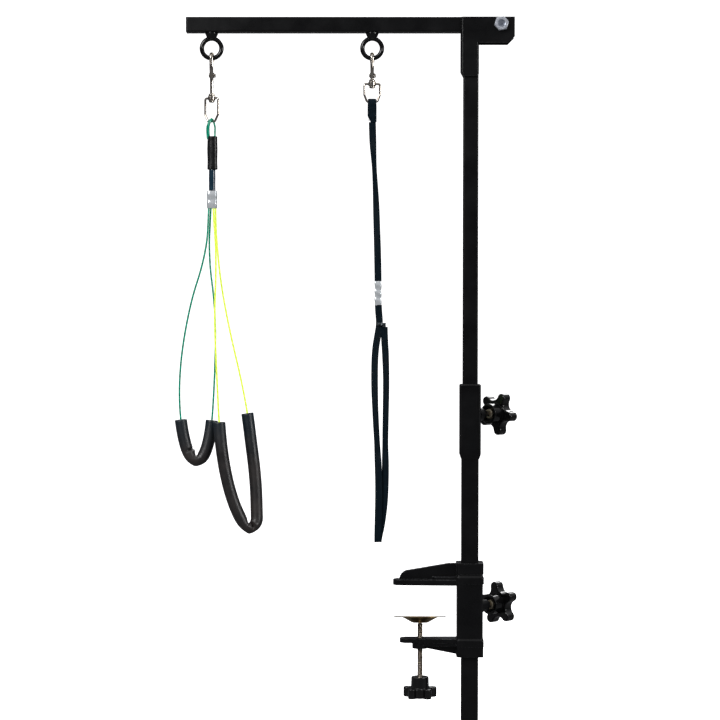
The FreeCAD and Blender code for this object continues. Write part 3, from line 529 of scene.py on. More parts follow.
# %% Sleeves
finish("black_shrink_sleeve", (0.0030, 0.0030, 0.0036), (0.0110, 0.0115, 0.0130), 0.30, spread=0.10,
       grain=500.0, depth=0.00012, cloud=180.0, edge_wear_and_highlight=(0.08, 0.08, 0.09), specular=0.4)
finish("navy_sleeve", (0.0030, 0.0200, 0.0420), (0.010, 0.050, 0.085), 0.16, spread=0.05,
       grain=500.0, cloud=200.0, edge_wear_and_highlight=(0.10, 0.16, 0.20), coat=0.4)
print("finishes so far:", len(FINISHES))

# %% [markdown]
# ### Foam
# The covers are closed-cell foam with a thin smooth skin, so they shine more than cut foam
# does. Their colour drifts in broad clouds between blue black and brown.

# %% Foam
black_foam = finish("black_foam", (0.0020, 0.0040, 0.0056), (0.0420, 0.0340, 0.0310), 0.38,
                    spread=0.08, grain=1400.0, depth=0.00014, cloud=22.0, edge_wear_and_highlight=(0.10, 0.09, 0.085),
                    radius=0.0008, specular=0.7, sheen=0.05)
print("finishes so far:", len(FINISHES))

# %% [markdown]
# ### Nylon
# The strap is woven nylon, black with a cold tint. The weave effect gives it threads, with
# painted shade between them, and its gloss is broken up by them.

# %% Nylon
finish("black_nylon", (0.0004, 0.0072, 0.0140), (0.0014, 0.0140, 0.0250), 0.50, spread=0.08,
       grain=2500.0, cloud=90.0, radius=0.0003, specular=0.15, extra=webbing, extra_depth=0.00018,
       shade_in_grooves=0.5)
print("finishes so far:", len(FINISHES))

# %% [markdown]
# ### Foam's teal tops
# The foam's cut tops are blue-black, a painted teal reflection and painted shade, while the
# lower bends keep the finish's brown. The colour is blended by height, over what the finish
# already gives. A second material would stop at a hard line.

# %% Colour that changes with height
def tint_by_height(material, low, high, colour):
    """Blend a finish towards another colour between two heights."""
    tree = material.node_tree
    surface = tree.nodes["Principled BSDF"]
    before = surface.inputs["Base Color"].links[0].from_socket
    where = place(tree, "ShaderNodeTexCoord").outputs["Object"]
    height = place(tree, "ShaderNodeSeparateXYZ", {0: where}).outputs["Z"]
    mixed = blend_colours(tree, rescale(tree, height, low, high), before, (*colour, 1.0))
    tree.links.new(mixed, surface.inputs["Base Color"])


TEAL_FROM, TEAL_FULL = 0.190, 0.246
# Painted reflection and shade: the foam's tops are blended to a dark teal.
tint_by_height(black_foam, TEAL_FROM, TEAL_FULL, (0.0004, 0.0110, 0.0200))
print("foam turns teal above", TEAL_FROM, "m")

# %% [markdown]
# ## Rigid pieces
# The tubes, castings, eyes, hooks and knobs already have their true shape, so they stay
# as they are and only take a finish, by the slot that the record names for each of them.
# The rounded-edge normal in every finish gives their hard corners a soft glint.

# %% Put a finish on each rigid node
SPECIAL_FINISHES = {"eyebolt_outer": "gloss_enamel", "eyebolt_inner": "gloss_enamel",
                    "noose_ring": "dark_eyelet"}

for part in frame["record"]["subparts"]:
    node = nodes[part["node"]]
    for slot_number in range(len(node.material_slots)):
        finish_name = SPECIAL_FINISHES.get(part["node"], part["material_slot"])
        node.material_slots[slot_number].material = FINISHES[finish_name]

# %% [markdown]
# ## Building skins
# Almost every new piece here is a skin over a row of closed rings: round for a cable or a
# sleeve, flat for a strap, and rippled for a crimp. Each skin gets a map in metres, round
# and along it, that the weave and the wire twist are laid out on.

# %% Rings and skins
FLAT_ACROSS, FLAT_THROUGH = 0.35, 0.6


def circle(radius, sides=24):
    """A round outline, counted from the side direction."""
    turns = [math.tau * i / sides for i in range(sides)]
    return [(radius * math.cos(turn), radius * math.sin(turn)) for turn in turns]


def flat_outline(width, thickness, sides=28):
    """A flat strap's outline with full round edges."""
    outline = []
    for i in range(sides):
        turn = math.tau * i / sides
        c, s = math.cos(turn), math.sin(turn)
        across = width / 2 * math.copysign(abs(c) ** FLAT_ACROSS, c)
        through = thickness / 2 * math.copysign(abs(s) ** FLAT_THROUGH, s)
        outline.append((across, through))
    return outline


def ring(place_at, direction, side, outline):
    """An outline set square across a direction, its first axis along side."""
    side = (side - side.dot(direction) * direction).normalized()
    other = direction.cross(side)
    return [place_at + a * side + b * other for a, b in outline]


def skin(name, rings, along, around, finish_name, body, stands_for=(), closed=True, smooth=50):
    """A mesh over a row of rings, mapped in metres, with its finish, on its body."""
    sides = len(rings[0])
    faces = []
    corners = []
    for i in range(len(rings) - 1):
        for j in range(sides):
            k = (j + 1) % sides
            faces.append((i * sides + j, i * sides + k, (i + 1) * sides + k, (i + 1) * sides + j))
            left, right = around * j / sides, around * (j + 1) / sides
            near, far = along[i], along[i + 1]
            corners += [(left, near), (right, near), (right, far), (left, far)]
    if closed:
        first = len(faces)
        faces.append(tuple(reversed(range(sides))))
        faces.append(tuple(range((len(rings) - 1) * sides, len(rings) * sides)))
        corners += [(0.0, along[0])] * len(faces[first]) + [(0.0, along[-1])] * len(faces[first + 1])
    mesh = bpy.data.meshes.new(name)
    mesh.from_pydata([point for row in rings for point in row], [], faces)
    layer = mesh.uv_layers.new(name="metres")
    for corner, place_on_map in zip(layer.data, corners):
        corner.uv = place_on_map
    shell = bmesh.new()
    shell.from_mesh(mesh)
    bmesh.ops.recalc_face_normals(shell, faces=shell.faces)
    shell.to_mesh(mesh)
    shell.free()
    mesh.shade_smooth()
    mesh.set_sharp_from_angle(angle=math.radians(smooth))
    mesh.materials.append(FINISHES[finish_name])
    piece = bpy.data.objects.new(name, mesh)
    bpy.context.scene.collection.objects.link(piece)
    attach(piece, body)
    if stands_for:
        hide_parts(*stands_for)
    print(name, "is a skin of", len(mesh.polygons), "faces on", body)
    return piece


print("a circle of radius 1 starts at", circle(1.0)[0])

# %% [markdown]
# ## Cables and their top loop
# Both cables leave the crushed sleeve, hang down through their foam and come back to it.
# They are stiff wire rope, so each makes one wide springy loop. A curve with a bevel would
# be quicker, but a skin carries a map for the wire twist. Routes are in millimetres.

# %% The cables' lines
green_line = Line("green_line", [
    (-312.2, -2.0, 554), (-312.9, -3.4, 530), (-314.6, -4.6, 503), (-322.6, -5.2, 465),
    (-336.0, -5.6, 424), (-346.2, -5.6, 376), (-353.0, -5.4, 330), (-355.6, -5.0, 284),
    (-353.6, -4.4, 243), (-348.0, -4.0, 211), (-341.5, -3.6, 192), (-333.9, -3.2, 183.5),
    (-323.2, -2.6, 184.6), (-317.0, -2.0, 194.6), (-311.4, -0.6, 214), (-307.4, 1.2, 242),
    (-305.0, 3.4, 284), (-303.2, 4.8, 330), (-302.4, 5.4, 376), (-305.2, 5.2, 424),
    (-310.6, 4.6, 465), (-312.0, 3.6, 503), (-310.6, 2.6, 530), (-309.4, 2.0, 554)])
yellow_line = Line("yellow_line", [
    (-305.4, -2.0, 554), (-304.0, -3.6, 528), (-301.4, -6.2, 500), (-301.0, -9.0, 452),
    (-302.8, -11.6, 404), (-301.6, -13.4, 356), (-299.2, -14.6, 308), (-297.0, -15.6, 262),
    (-295.6, -16.0, 239), (-292.4, -16.4, 203), (-287.0, -16.2, 168), (-279.2, -15.4, 135),
    (-269.4, -14.2, 108), (-258.2, -12.0, 87), (-248.0, -9.0, 84.8), (-240.5, -5.6, 92),
    (-241.2, -4.0, 108), (-242.0, -2.6, 138), (-244.8, -1.6, 172), (-249.6, -0.8, 208),
    (-254.6, 0, 248), (-258.6, 1.0, 272), (-266.4, 2.2, 310), (-277.6, 4.0, 356),
    (-287.8, 5.2, 404), (-295.8, 5.2, 452), (-300.4, 4.2, 500), (-302.2, 2.8, 528),
    (-302.4, 2.0, 554)])
for title, line in (("green cable", green_line), ("yellow cable", yellow_line)):
    print(title, "is", round(line.length * 1000), "mm long")

# %% Cables
CABLE_RADIUS = 0.0014
CABLE_SIDES = 12


def cable(name, line, finish_name, stands_for):
    """A round jacketed cable along a line."""
    steps = int(line.length / STEP)
    spots = [line.length * i / steps for i in range(steps + 1)]
    rings = [ring(*line.at(d), circle(CABLE_RADIUS, CABLE_SIDES)) for d in spots]
    piece = skin(name, rings, spots, math.tau * CABLE_RADIUS, finish_name, "holder_lead", stands_for)
    return piece


cable("green_cable", green_line, "green_cable_jacket", ["cable_green"])
cable("yellow_cable", yellow_line, "yellow_cable_jacket", ["cable_yellow"])

# %% [markdown]
# The green cable's other end comes out at the top of the sleeves and loops over the hook's
# swivel bar. It has to clear the bar by its own radius, so its heights are counted from the
# bar and from the sleeve's top.

# %% Top loop
BAR_THICKNESS = 1.6
LOOP_PLAY = 0.8
wide_sleeve_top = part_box("holder_wide_sleeve")[1].z / MM
bar_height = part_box("holder_swivel_ring")[0].z / MM + BAR_THICKNESS
over_bar = bar_height + BAR_THICKNESS + CABLE_RADIUS / MM + LOOP_PLAY
LEAD_X = -308.0
top_loop_line = Line("top_loop_line", [
    (LEAD_X - 3.6, -3.2, wide_sleeve_top), (LEAD_X - 4.6, -4.2, wide_sleeve_top + 12),
    (LEAD_X - 2.4, -4.6, over_bar - 6), (LEAD_X - 0.6, -2.6, over_bar), (LEAD_X + 1.2, 2.6, over_bar),
    (LEAD_X + 3.6, 4.2, over_bar - 7), (LEAD_X + 5.0, 3.6, wide_sleeve_top + 12),
    (LEAD_X + 4.4, 2.8, wide_sleeve_top)])
cable("top_loop", top_loop_line, "green_cable_jacket", ["holder_top_loop"])
print("top loop is", round(top_loop_line.length * 1000), "mm long")

# %% [markdown]
# On its left the loop is doubled by a short second strand, which starts inside the sleeve
# and ends against the bar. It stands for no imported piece.

# %% Doubled strand
STRAND_STEPS = 30
doubled_line = Line("doubled_line", [
    (LEAD_X - 5.8, -1.6, wide_sleeve_top - 4), (LEAD_X - 7.2, -2.2, wide_sleeve_top + 11),
    (LEAD_X - 5.2, -2.6, over_bar - 8), (LEAD_X - 2.8, -1.0, over_bar - 0.6),
    (LEAD_X - 1.2, 1.6, over_bar - 2.4)])
doubled_spots = [doubled_line.length * i / STRAND_STEPS for i in range(STRAND_STEPS + 1)]
doubled_rings = [ring(*doubled_line.at(d), circle(CABLE_RADIUS, CABLE_SIDES)) for d in doubled_spots]
skin("doubled_strand", doubled_rings, doubled_spots, math.tau * CABLE_RADIUS, "green_cable_jacket",
     "holder_lead")

# %% [markdown]
# ## Foam covers
# Each foam cover is a length of soft tube slid on its cable and cut square at the ends.
# Foam can't follow a tight bend: its inner wall buckles in a crease, and the outer wall
# goes flat there. So each ring is squeezed and its inner side pushed in near the crease.

# %% Foam tubes
FOAM_RADIUS = 0.0091
FOAM_BORE = 0.0020
FOAM_SIDES = 40
FOAM_LIP = 0.0012
FOAM_STEP = 0.0015
BORE_DEPTH = 0.012
BORE_FLARE = 0.0006
MOUTH = 0.0005


def foam_ring(line, distance, radius, creases, pulls):
    """One ring of the foam.

    creases are (distance, direction, depth, reach, flatten): the side that faces direction
    is pushed in. pulls are (corner, reach, strength): the wall is drawn out to a corner.
    """
    place_at, direction, side = line.at(distance)
    other = direction.cross(side)
    points = []
    for i in range(FOAM_SIDES):
        turn = math.tau * i / FOAM_SIDES
        away = math.cos(turn) * side + math.sin(turn) * other
        push = away * radius
        for spot, inner, crease_depth, reach, flatten in creases:
            closeness = math.exp(-((distance - spot) / reach) ** 2)
            inner = (inner - inner.dot(direction) * direction).normalized()
            facing = max(0.0, away.dot(inner))
            push -= away * crease_depth * closeness * facing ** 3 * radius / FOAM_RADIUS
            broad = direction.cross(inner)
            push += broad * push.dot(broad) * flatten * closeness
            push -= inner * push.dot(inner) * flatten * closeness
        point = place_at + push
        for corner, reach, strength in pulls:
            gap = corner - point
            near = math.exp(-(gap.length / reach) ** 2)
            point += gap * strength * near * (radius / FOAM_RADIUS) ** 4
        points.append(point)
    return points


def foam_cover(name, line, tops, creases, pulls, stands_for):
    """A foam tube on a cable, with soft lips and an open bore at both cut ends."""
    first = line.distance_at_height(tops[0])
    last = line.distance_at_height(tops[1], from_end=True)
    lip = FOAM_LIP
    profile = [(first + BORE_DEPTH, FOAM_BORE), (first + MOUTH, FOAM_BORE),
               (first, FOAM_BORE + BORE_FLARE),
               (first, FOAM_RADIUS - lip), (first + 0.3 * lip, FOAM_RADIUS - 0.3 * lip),
               (first + lip, FOAM_RADIUS)]
    steps = int((last - first) / FOAM_STEP)
    for i in range(1, steps):
        profile.append((first + lip + (last - first - 2 * lip) * i / steps, FOAM_RADIUS))
    profile += [(last - lip, FOAM_RADIUS), (last - 0.3 * lip, FOAM_RADIUS - 0.3 * lip),
                (last, FOAM_RADIUS - lip), (last, FOAM_BORE + BORE_FLARE), (last - MOUTH, FOAM_BORE),
                (last - BORE_DEPTH, FOAM_BORE)]
    rings = [foam_ring(line, d, radius, creases, pulls) for d, radius in profile]
    spots = [0.0]
    for (d0, r0), (d1, r1) in zip(profile, profile[1:]):
        spots.append(spots[-1] + math.hypot(d1 - d0, r1 - r0))
    piece = skin(name, rings, spots, math.tau * FOAM_RADIUS, "black_foam", "holder_lead", stands_for,
                 closed=False)
    return piece


print("foam tubes are", round(2 * FOAM_RADIUS * 1000, 1), "mm across")

# %% [markdown]
# The green cable's foam is short, and has one sharp buckle in its front, above the bottom of
# its bend. The yellow cable's foam is long, and its outer wall is drawn to a blunt corner
# where it doubles back.

# %% Short and long foam
UPWARD = Vector((0, 0, 1))
green_low = green_line.distance_at_height(0.192)
foam_cover("short_foam", green_line, (0.243, 0.242), [
    (green_low - 0.006, Vector((1, -0.9, 0.5)), 0.0048, 0.0016, 0.0),
    (green_low - 0.0015, Vector((1, -0.3, 0.6)), -0.0016, 0.0022, 0.0),
    (green_low + 0.012, UPWARD, 0.0020, 0.007, 0.10)],
    [(Vector((-0.3330, -0.004, 0.1690)), 0.012, 0.35)], ["foam_short"])
yellow_low = yellow_line.distance_at_height(0.096)
foam_cover("long_foam", yellow_line, (0.240, 0.2525), [
    (yellow_low + 0.0215, Vector((0.5, -1.0, 0.9)), 0.0072, 0.0018, 0.0),
    (yellow_low + 0.0250, Vector((0.3, -1.0, 0.2)), -0.0014, 0.0018, 0.0),
    (yellow_low + 0.012, UPWARD, 0.0028, 0.008, 0.10)],
    [(Vector((-0.2520, -0.013, 0.0735)), 0.0125, 0.55)], ["foam_long"])
print("foam folds at", round(green_low, 3), "and", round(yellow_low, 3), "m along their cables")

# %% [markdown]
# ## The noose
# The noose is one flat nylon strap: doubled at the top round the swivel ring, locked by a
# crushed metal sleeve, and split below it into a long narrow loop with a sliding eyelet.
# The strap turns as it hangs, so its width direction is given at a few heights. A curve
# with a flat bevel turns by itself where the route bends, so each ring is set one by one.

# %% The noose's lines
noose_strap_line = Line("noose_strap_line", [
    (-71.6, 0, 681), (-70.9, 0.6, 652), (-68.6, 0.9, 615), (-66.1, 0.4, 570),
    (-64.6, -0.4, 522), (-63.3, 0.3, 482), (-62.8, 0, 447.3)])
noose_loop_line = Line("noose_loop_line", [
    (-62.4, 0, 412.2), (-61.6, 0, 399), (-60.2, 0, 384), (-63.5, -0.5, 366), (-67.2, -1.5, 343),
    (-68.0, -2.5, 300), (-66.4, -2.5, 252), (-63.8, -2.2, 208), (-61.6, -2.2, 164),
    (-61.4, -2.2, 124), (-62.2, -2.0, 92), (-62.6, -1.7, 69), (-62.5, -1.3, 62.5),
    (-62.1, 1.3, 62.5), (-61.4, 1.7, 69), (-57.0, 2.0, 88), (-52.6, 2.2, 122), (-51.3, 2.2, 164),
    (-51.9, 2.2, 208), (-51.2, 2.5, 252), (-50.4, 2.5, 300), (-51.6, 1.5, 340),
    (-53.2, 0.5, 362), (-53.7, 0, 380)])
for title, line in (("strap", noose_strap_line), ("noose loop", noose_loop_line)):
    print(title, "is", round(line.length * 1000), "mm long")

# %% Strap pieces
STRAP_WIDTH = 0.0105
STRAP_THICKNESS = 0.0021


def strap(name, line, turns, stands_for):
    """A flat strap along a line. turns gives how far it has turned, in degrees, along its length."""
    steps = int(line.length / STEP)
    spots = [line.length * i / steps for i in range(steps + 1)]
    outline = flat_outline(STRAP_WIDTH, STRAP_THICKNESS)
    rings = []
    for d in spots:
        share = d / line.length
        for (s0, a0), (s1, a1) in zip(turns, turns[1:]):
            if s0 <= share <= s1:
                eased = (share - s0) / (s1 - s0)
                eased = eased * eased * (3 - 2 * eased)
                angle = math.radians(a0 + (a1 - a0) * eased)
        place_at, direction, _ = line.at(d)
        width_way = Vector((math.cos(angle), math.sin(angle), 0.0))
        rings.append(ring(place_at, direction, width_way, outline))
    piece = skin(name, rings, spots, 2 * STRAP_WIDTH, "black_nylon", "noose_lead", stands_for)
    return piece


strap("upper_strap", noose_strap_line, [(0, 4), (0.30, -52), (0.62, -24), (1, 4)], ["noose_strap"])
strap("noose_strap_loop", noose_loop_line, [
    (0, 4), (0.07, 16), (0.17, 20), (0.24, 34), (0.30, 38), (0.37, 8), (0.5, 2), (0.57, -4),
    (0.68, -8), (0.745, -36), (0.88, -30), (0.95, -16), (1, -6)], ["noose_loop"])

# %% [markdown]
# ### Folded end
# The strap's top end is folded over the swivel ring's bar and sewn flat. It is wider than
# the hanging strap, because it is wrapped twice. Its two free corners are cut off at an
# angle, so that they don't fray. It is one skin that runs up the front, over the bar and
# down the back.

# %% Folded end
TAB_WIDTH = 0.0134
TAB_THICKNESS = 0.0024
TAB_STEPS = 70
CORNER_CUT = 0.0085
CUT_WIDTH = 0.0046
PUCKER = 0.10
EYE_RISE = 3.6
tab_low, tab_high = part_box("noose_tab")
tab_x = (tab_low.x + tab_high.x) / 2 / MM
eye_height = tab_high.z / MM - EYE_RISE
tab_foot = tab_low.z / MM
tab_line = Line("tab_line", [
    (tab_x, -1.5, tab_foot), (tab_x, -1.6, tab_foot + 12), (tab_x, -1.9, eye_height - 9),
    (tab_x, -3.2, eye_height - 3), (tab_x, -2.8, eye_height + 2.6), (tab_x, 0, eye_height + EYE_RISE),
    (tab_x, 2.8, eye_height + 2.6), (tab_x, 3.2, eye_height - 3), (tab_x, 1.9, eye_height - 9),
    (tab_x, 1.6, tab_foot + 12), (tab_x, 1.5, tab_foot)], start_side=(1, 0, 0))
tab_spots = [tab_line.length * i / TAB_STEPS for i in range(TAB_STEPS + 1)]
tab_rings = []
for d in tab_spots:
    width = TAB_WIDTH * (1.0 - PUCKER * math.exp(-((d / tab_line.length - 0.5) / PUCKER) ** 2))
    from_foot = min(d, tab_line.length - d)
    cut = max(0.0, 1.0 - from_foot / CORNER_CUT) * CUT_WIDTH
    spot, direction, side = tab_line.at(d)
    outline = flat_outline(width - cut, TAB_THICKNESS)
    tab_rings.append(ring(spot + side * cut / 2, direction, side, outline))
skin("noose_folded_end", tab_rings, tab_spots, 2 * TAB_WIDTH, "black_nylon", "noose_lead",
     ["noose_tab"])

# %% [markdown]
# ### Stitches
# Four rows of heavy thread hold the fold, on the front and on the back. Each stitch is a
# short bent thread that stands a little proud of the strap, so it has a highlight of its
# own. A bump in the material would be lost from the side.

# %% Stitches
STITCH_HALF = 0.0009
STITCH_RADIUS = 0.00028
STITCH_RISE = 0.0003
STITCH_SIDES = 6
STITCH_ROWS = (3.0, 6.5, 15.0, 18.5)


def stitch_rows(name, heights, count, pitch, lean, face_at):
    """Short raised threads, side by side in rows, on the front and the back of the fold."""
    points = []
    faces = []
    outline = [Vector((a, b, 0)) for a, b in circle(STITCH_RADIUS, STITCH_SIDES)]
    for face, height, i in itertools.product((-1, 1), heights, range(count)):
        x = tab_x * MM + (i - (count - 1) / 2) * pitch
        foot = Vector((x - lean / 2, face * face_at, height - STITCH_HALF))
        head = Vector((x + lean / 2, face * face_at, height + STITCH_HALF))
        crown = (foot + head) / 2 + Vector((0, face * STITCH_RISE, 0))
        first = len(points)
        for middle in (foot, crown, head):
            points += [middle + corner for corner in outline]
        for base in (first, first + STITCH_SIDES):
            above = base + STITCH_SIDES
            for k in range(STITCH_SIDES):
                n = (k + 1) % STITCH_SIDES
                faces.append((base + k, base + n, above + n, above + k))
    mesh = bpy.data.meshes.new(name)
    mesh.from_pydata(points, [], faces)
    mesh.shade_smooth()
    mesh.materials.append(FINISHES["black_nylon"])
    mesh.uv_layers.new(name="metres")
    piece = bpy.data.objects.new(name, mesh)
    bpy.context.scene.collection.objects.link(piece)
    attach(piece, "noose_lead")
    return piece


row_heights = [(tab_foot + h) * MM for h in STITCH_ROWS]
stitches = stitch_rows("fold_stitches", row_heights, count=7, pitch=0.0017,
                       lean=0.0006, face_at=0.0028)
print("stitches have", len(stitches.data.polygons), "faces")

# %% [markdown]
# ### Crushed sleeves
# The strap is locked by a metal sleeve crushed flat in three bites, and the cables by one
# with two. The dies slip a little as they close, so each bite leans, and the metal swells
# between them. One cosine along the sleeve gives the bites, so no sculpting is needed.

# %% Crushed sleeves
CRUSH_RINGS = 60
CRUSH_SIDES = 40
CRUSH_LIP = 0.0006
LIP_SIZE = 0.90

def crushed_sleeve(name, node, bites, lean, finish_name, body, pinch):
    """An oval metal sleeve over a node's box, pinched by a row of leaning bites."""
    low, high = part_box(node)
    centre = (low + high) / 2
    half_width = (high.x - low.x) / 2
    half_depth = (high.y - low.y) / 2
    length = high.z - low.z
    rings = []
    spots = []
    for i in range(CRUSH_RINGS + 1):
        share = i / CRUSH_RINGS
        spots.append(share * length)
        row = []
        end_gap = min(share, 1 - share) * length
        rounding = LIP_SIZE + (1 - LIP_SIZE) * min(1.0, end_gap / CRUSH_LIP)
        for k in range(CRUSH_SIDES):
            turn = math.tau * k / CRUSH_SIDES
            c, s = math.cos(turn), math.sin(turn)
            bite = pinch * (0.5 + 0.5 * math.cos(math.tau * (bites * share + lean * c)))
            x = half_width * math.copysign(abs(c) ** 0.6, c) * (1 - 0.35 * bite)
            y = half_depth * math.copysign(abs(s) ** 0.75, s) * (1 - bite)
            row.append(Vector((centre.x + x * rounding, centre.y + y * rounding,
                               low.z + share * length)))
        rings.append(row)
    return skin(name, rings, spots, 4 * half_width, finish_name, body, [node])


crushed_sleeve("strap_crimp", "noose_crimp", bites=3, lean=0.22, pinch=0.30,
               finish_name="bright_aluminium", body="noose_lead")
crushed_sleeve("cable_ferrule", "holder_ferrule", bites=2, lean=0.05, pinch=0.12,
               finish_name="bright_aluminium", body="holder_lead")

# %% [markdown]
# ### Shrunk sleeves
# Two plastic sleeves hide where the cables are joined. Shrunk sleeve takes the shape of
# what is under it: it bulges over the folded cables, and its cut ends curl in a little.

# %% Shrunk sleeves
SLEEVE_RINGS = 30
SLEEVE_SIDES = 36
SLEEVE_LIP = 0.0012
END_CURL = [(0.0, 0.93), (0.0002, 0.84), (0.0015, 0.80)]

def shrunk_sleeve(name, node, finish_name, bulge, ripple, body):
    """A sleeve over a node's box, with soft bulges, long creases and open curled ends."""
    low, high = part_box(node)
    centre = (low + high) / 2
    half_width = (high.x - low.x) / 2
    half_depth = (high.y - low.y) / 2
    length = high.z - low.z
    levels = [(height, size) for height, size in reversed(END_CURL)] + [(0.0004, 0.99)]
    body_length = length - 2 * SLEEVE_LIP
    levels += [(SLEEVE_LIP + body_length * i / SLEEVE_RINGS, 1.0) for i in range(SLEEVE_RINGS + 1)]
    levels += [(length - 0.0004, 0.99)] + [(length - height, size) for height, size in END_CURL]
    rings = []
    for height, size in levels:
        share = height / length
        swell = 1 - bulge * (0.5 - 0.5 * math.cos(math.tau * (1.5 * share + 0.1)))
        row = []
        for k in range(SLEEVE_SIDES):
            turn = math.tau * k / SLEEVE_SIDES
            crease = 1 - ripple * (0.5 + 0.5 * math.sin(3 * turn + 2.5 * share))
            across = half_width * size * swell * crease
            deep = half_depth * size * swell * crease
            spot = (centre.x + across * math.cos(turn), centre.y + deep * math.sin(turn),
                    low.z + height)
            row.append(Vector(spot))
        rings.append(row)
    spots = [0.0]
    for a, b in zip(rings, rings[1:]):
        spots.append(spots[-1] + (b[0] - a[0]).length)
    return skin(name, rings, spots, math.tau * half_width, finish_name, body, [node], closed=False)


shrunk_sleeve("wide_sleeve", "holder_wide_sleeve", "black_shrink_sleeve", bulge=0.05,
              ripple=0.04, body="holder_lead")
shrunk_sleeve("narrow_sleeve", "holder_narrow_sleeve", "navy_sleeve", bulge=0.03,
              ripple=0.03, body="holder_lead")

# %% [markdown]
# ## Screws
# A screw thread is a ridge that climbs round the rod. A Screw modifier could sweep one, but
# its ends are hard to close. Here each ring of points keeps one height, and each point's
# radius depends on both its height and its turn, which makes one continuous helix.

# %% Threaded rods
THREAD_PITCH = 0.00125
THREAD_DEPTH = 0.00065
STEPS_PER_TURN = 8
ROD_SIDES = 28
TIP = 0.00002
ROD_RADIUS = 0.004


def threaded_rod(name, foot, axis, profile, thread_span, finish_name, body, stands_for):
    """A turned rod from foot along axis.

    profile is a list of (height, radius), and thread_span the heights where the thread
    starts and stops.
    """
    axis = Vector(axis).normalized()
    side = axis.orthogonal().normalized()
    other = axis.cross(side)
    low, high = thread_span
    levels = [(height, radius) for height, radius in profile if not low < height < high]
    thread_radius = next(radius for height, radius in profile if height >= low)
    steps = int((high - low) / (THREAD_PITCH / STEPS_PER_TURN))
    levels += [(low + (high - low) * i / steps, thread_radius) for i in range(1, steps)]
    levels.sort(key=lambda level: level[0])
    rings = []
    for height, radius in levels:
        row = []
        for k in range(ROD_SIDES):
            share = k / ROD_SIDES
            groove = 0.0
            if low < height < high:
                along = (height / THREAD_PITCH - share) % 1.0
                run_out = min(1.0, (height - low) / THREAD_PITCH, (high - height) / THREAD_PITCH)
                groove = THREAD_DEPTH * run_out * (1 - abs(2 * along - 1)) ** 1.2
            turn = math.tau * share
            away = math.cos(turn) * side + math.sin(turn) * other
            row.append(Vector(foot) + axis * height + away * max(radius - groove, 0.00001))
        rings.append(row)
    spots = [level[0] for level in levels]
    return skin(name, rings, spots, math.tau * ROD_RADIUS, finish_name, body, stands_for, smooth=35)


print("one turn of thread climbs", THREAD_PITCH, "m")

# %% [markdown]
# ### Hinge bolt
# The arm folds on a bolt with a cold-formed head: six sides, a round washer face, rounded
# corners, and a shallow dish pressed into the top. A cylinder with six sides would miss the
# round face, so each ring takes the smaller of a circle and the hexagon. The rows are
# marked round, hexagon or thread, by what cuts them.

# %% Hinge bolt
BOLT_PITCH = 0.00175
BOLT_THREAD_DEPTH = 0.0008
BOLT_THREADS = 12
BOLT_SIDES = 72
DISH_DEPTH = 0.0009
RIM_RADIUS = 0.0056


def hexagon_reach(turn, half_flats):
    """How far a hexagon reaches from its centre in one direction."""
    return half_flats / math.cos((turn % (math.tau / 6)) - math.tau / 12)


def hex_bolt(name, node, half_flats, head_height, shank_radius, spin, finish_name, body):
    """A bolt that points back along Y: dished and chamfered head, washer face, threaded end."""
    low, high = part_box(node)
    centre = (low + high) / 2
    length = high.y - low.y
    corner = half_flats * 1.16
    washer = half_flats * 0.95
    profile = [(DISH_DEPTH, TIP, "round"), (DISH_DEPTH, 0.0022, "round"),
               (DISH_DEPTH * 0.9, 0.0040, "round"),
               (0.0001, RIM_RADIUS, "round"), (0.0, RIM_RADIUS + 0.0004, "round"),
               (0.0, half_flats * 0.93, "round"), (0.0006, half_flats * 1.02, "hexagon"),
               (0.0013, half_flats * 1.10, "hexagon"), (0.0020, corner, "hexagon"),
               (head_height - 0.0014, corner, "hexagon"),
               (head_height - 0.0007, half_flats * 1.08, "hexagon"),
               (head_height - 0.0004, washer, "round"), (head_height, washer, "round"),
               (head_height, shank_radius, "round")]
    rows = STEPS_PER_TURN * BOLT_THREADS
    thread_from = length - 0.0010 - BOLT_PITCH * BOLT_THREADS
    for i in range(rows + 1):
        kind = "thread" if 0 < i < rows else "round"
        profile.append((thread_from + BOLT_PITCH * i / STEPS_PER_TURN, shank_radius, kind))
    profile += [(length, shank_radius - 0.0012, "round"), (length, TIP, "round")]
    rings = []
    for height, radius, kind in profile:
        row = []
        for k in range(BOLT_SIDES):
            turn = math.tau * k / BOLT_SIDES
            reach = radius
            if kind == "hexagon":
                reach = min(radius, hexagon_reach(turn, half_flats))
            if kind == "thread":
                along = (height / BOLT_PITCH - k / BOLT_SIDES) % 1.0
                reach = radius - BOLT_THREAD_DEPTH * (1 - abs(2 * along - 1))
            row.append(Vector((centre.x + reach * math.cos(turn + spin), low.y + height,
                               centre.z + reach * math.sin(turn + spin))))
        rings.append(row)
    spots = [height for height, _, _ in profile]
    return skin(name, rings, spots, math.tau * half_flats, finish_name, body, [node], smooth=25)


bolt = hex_bolt("hinge_bolt", "pivot_bolt", half_flats=0.0095, head_height=0.0075,
                shank_radius=0.006, spin=math.radians(12), finish_name="zinc_bolt", body="upper_post")

# %% [markdown]
# The head's dish keeps the dirt that is wiped off its rim, so its faces take the worn zinc
# as a second material.

# %% Worn dish of the bolt
WORN_RADIUS = 0.0054
WORN_DEPTH = 0.0012
bolt.data.materials.append(worn_zinc)
bolt_low, bolt_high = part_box("pivot_bolt")
bolt_centre = (bolt_low + bolt_high) / 2
for face in bolt.data.polygons:
    from_axis = math.hypot(face.center.x - bolt_centre.x, face.center.z - bolt_centre.z)
    if from_axis < WORN_RADIUS and face.center.y < bolt_low.y + WORN_DEPTH:
        face.material_index = 1
print("worn faces on the bolt:", sum(face.material_index for face in bolt.data.polygons))

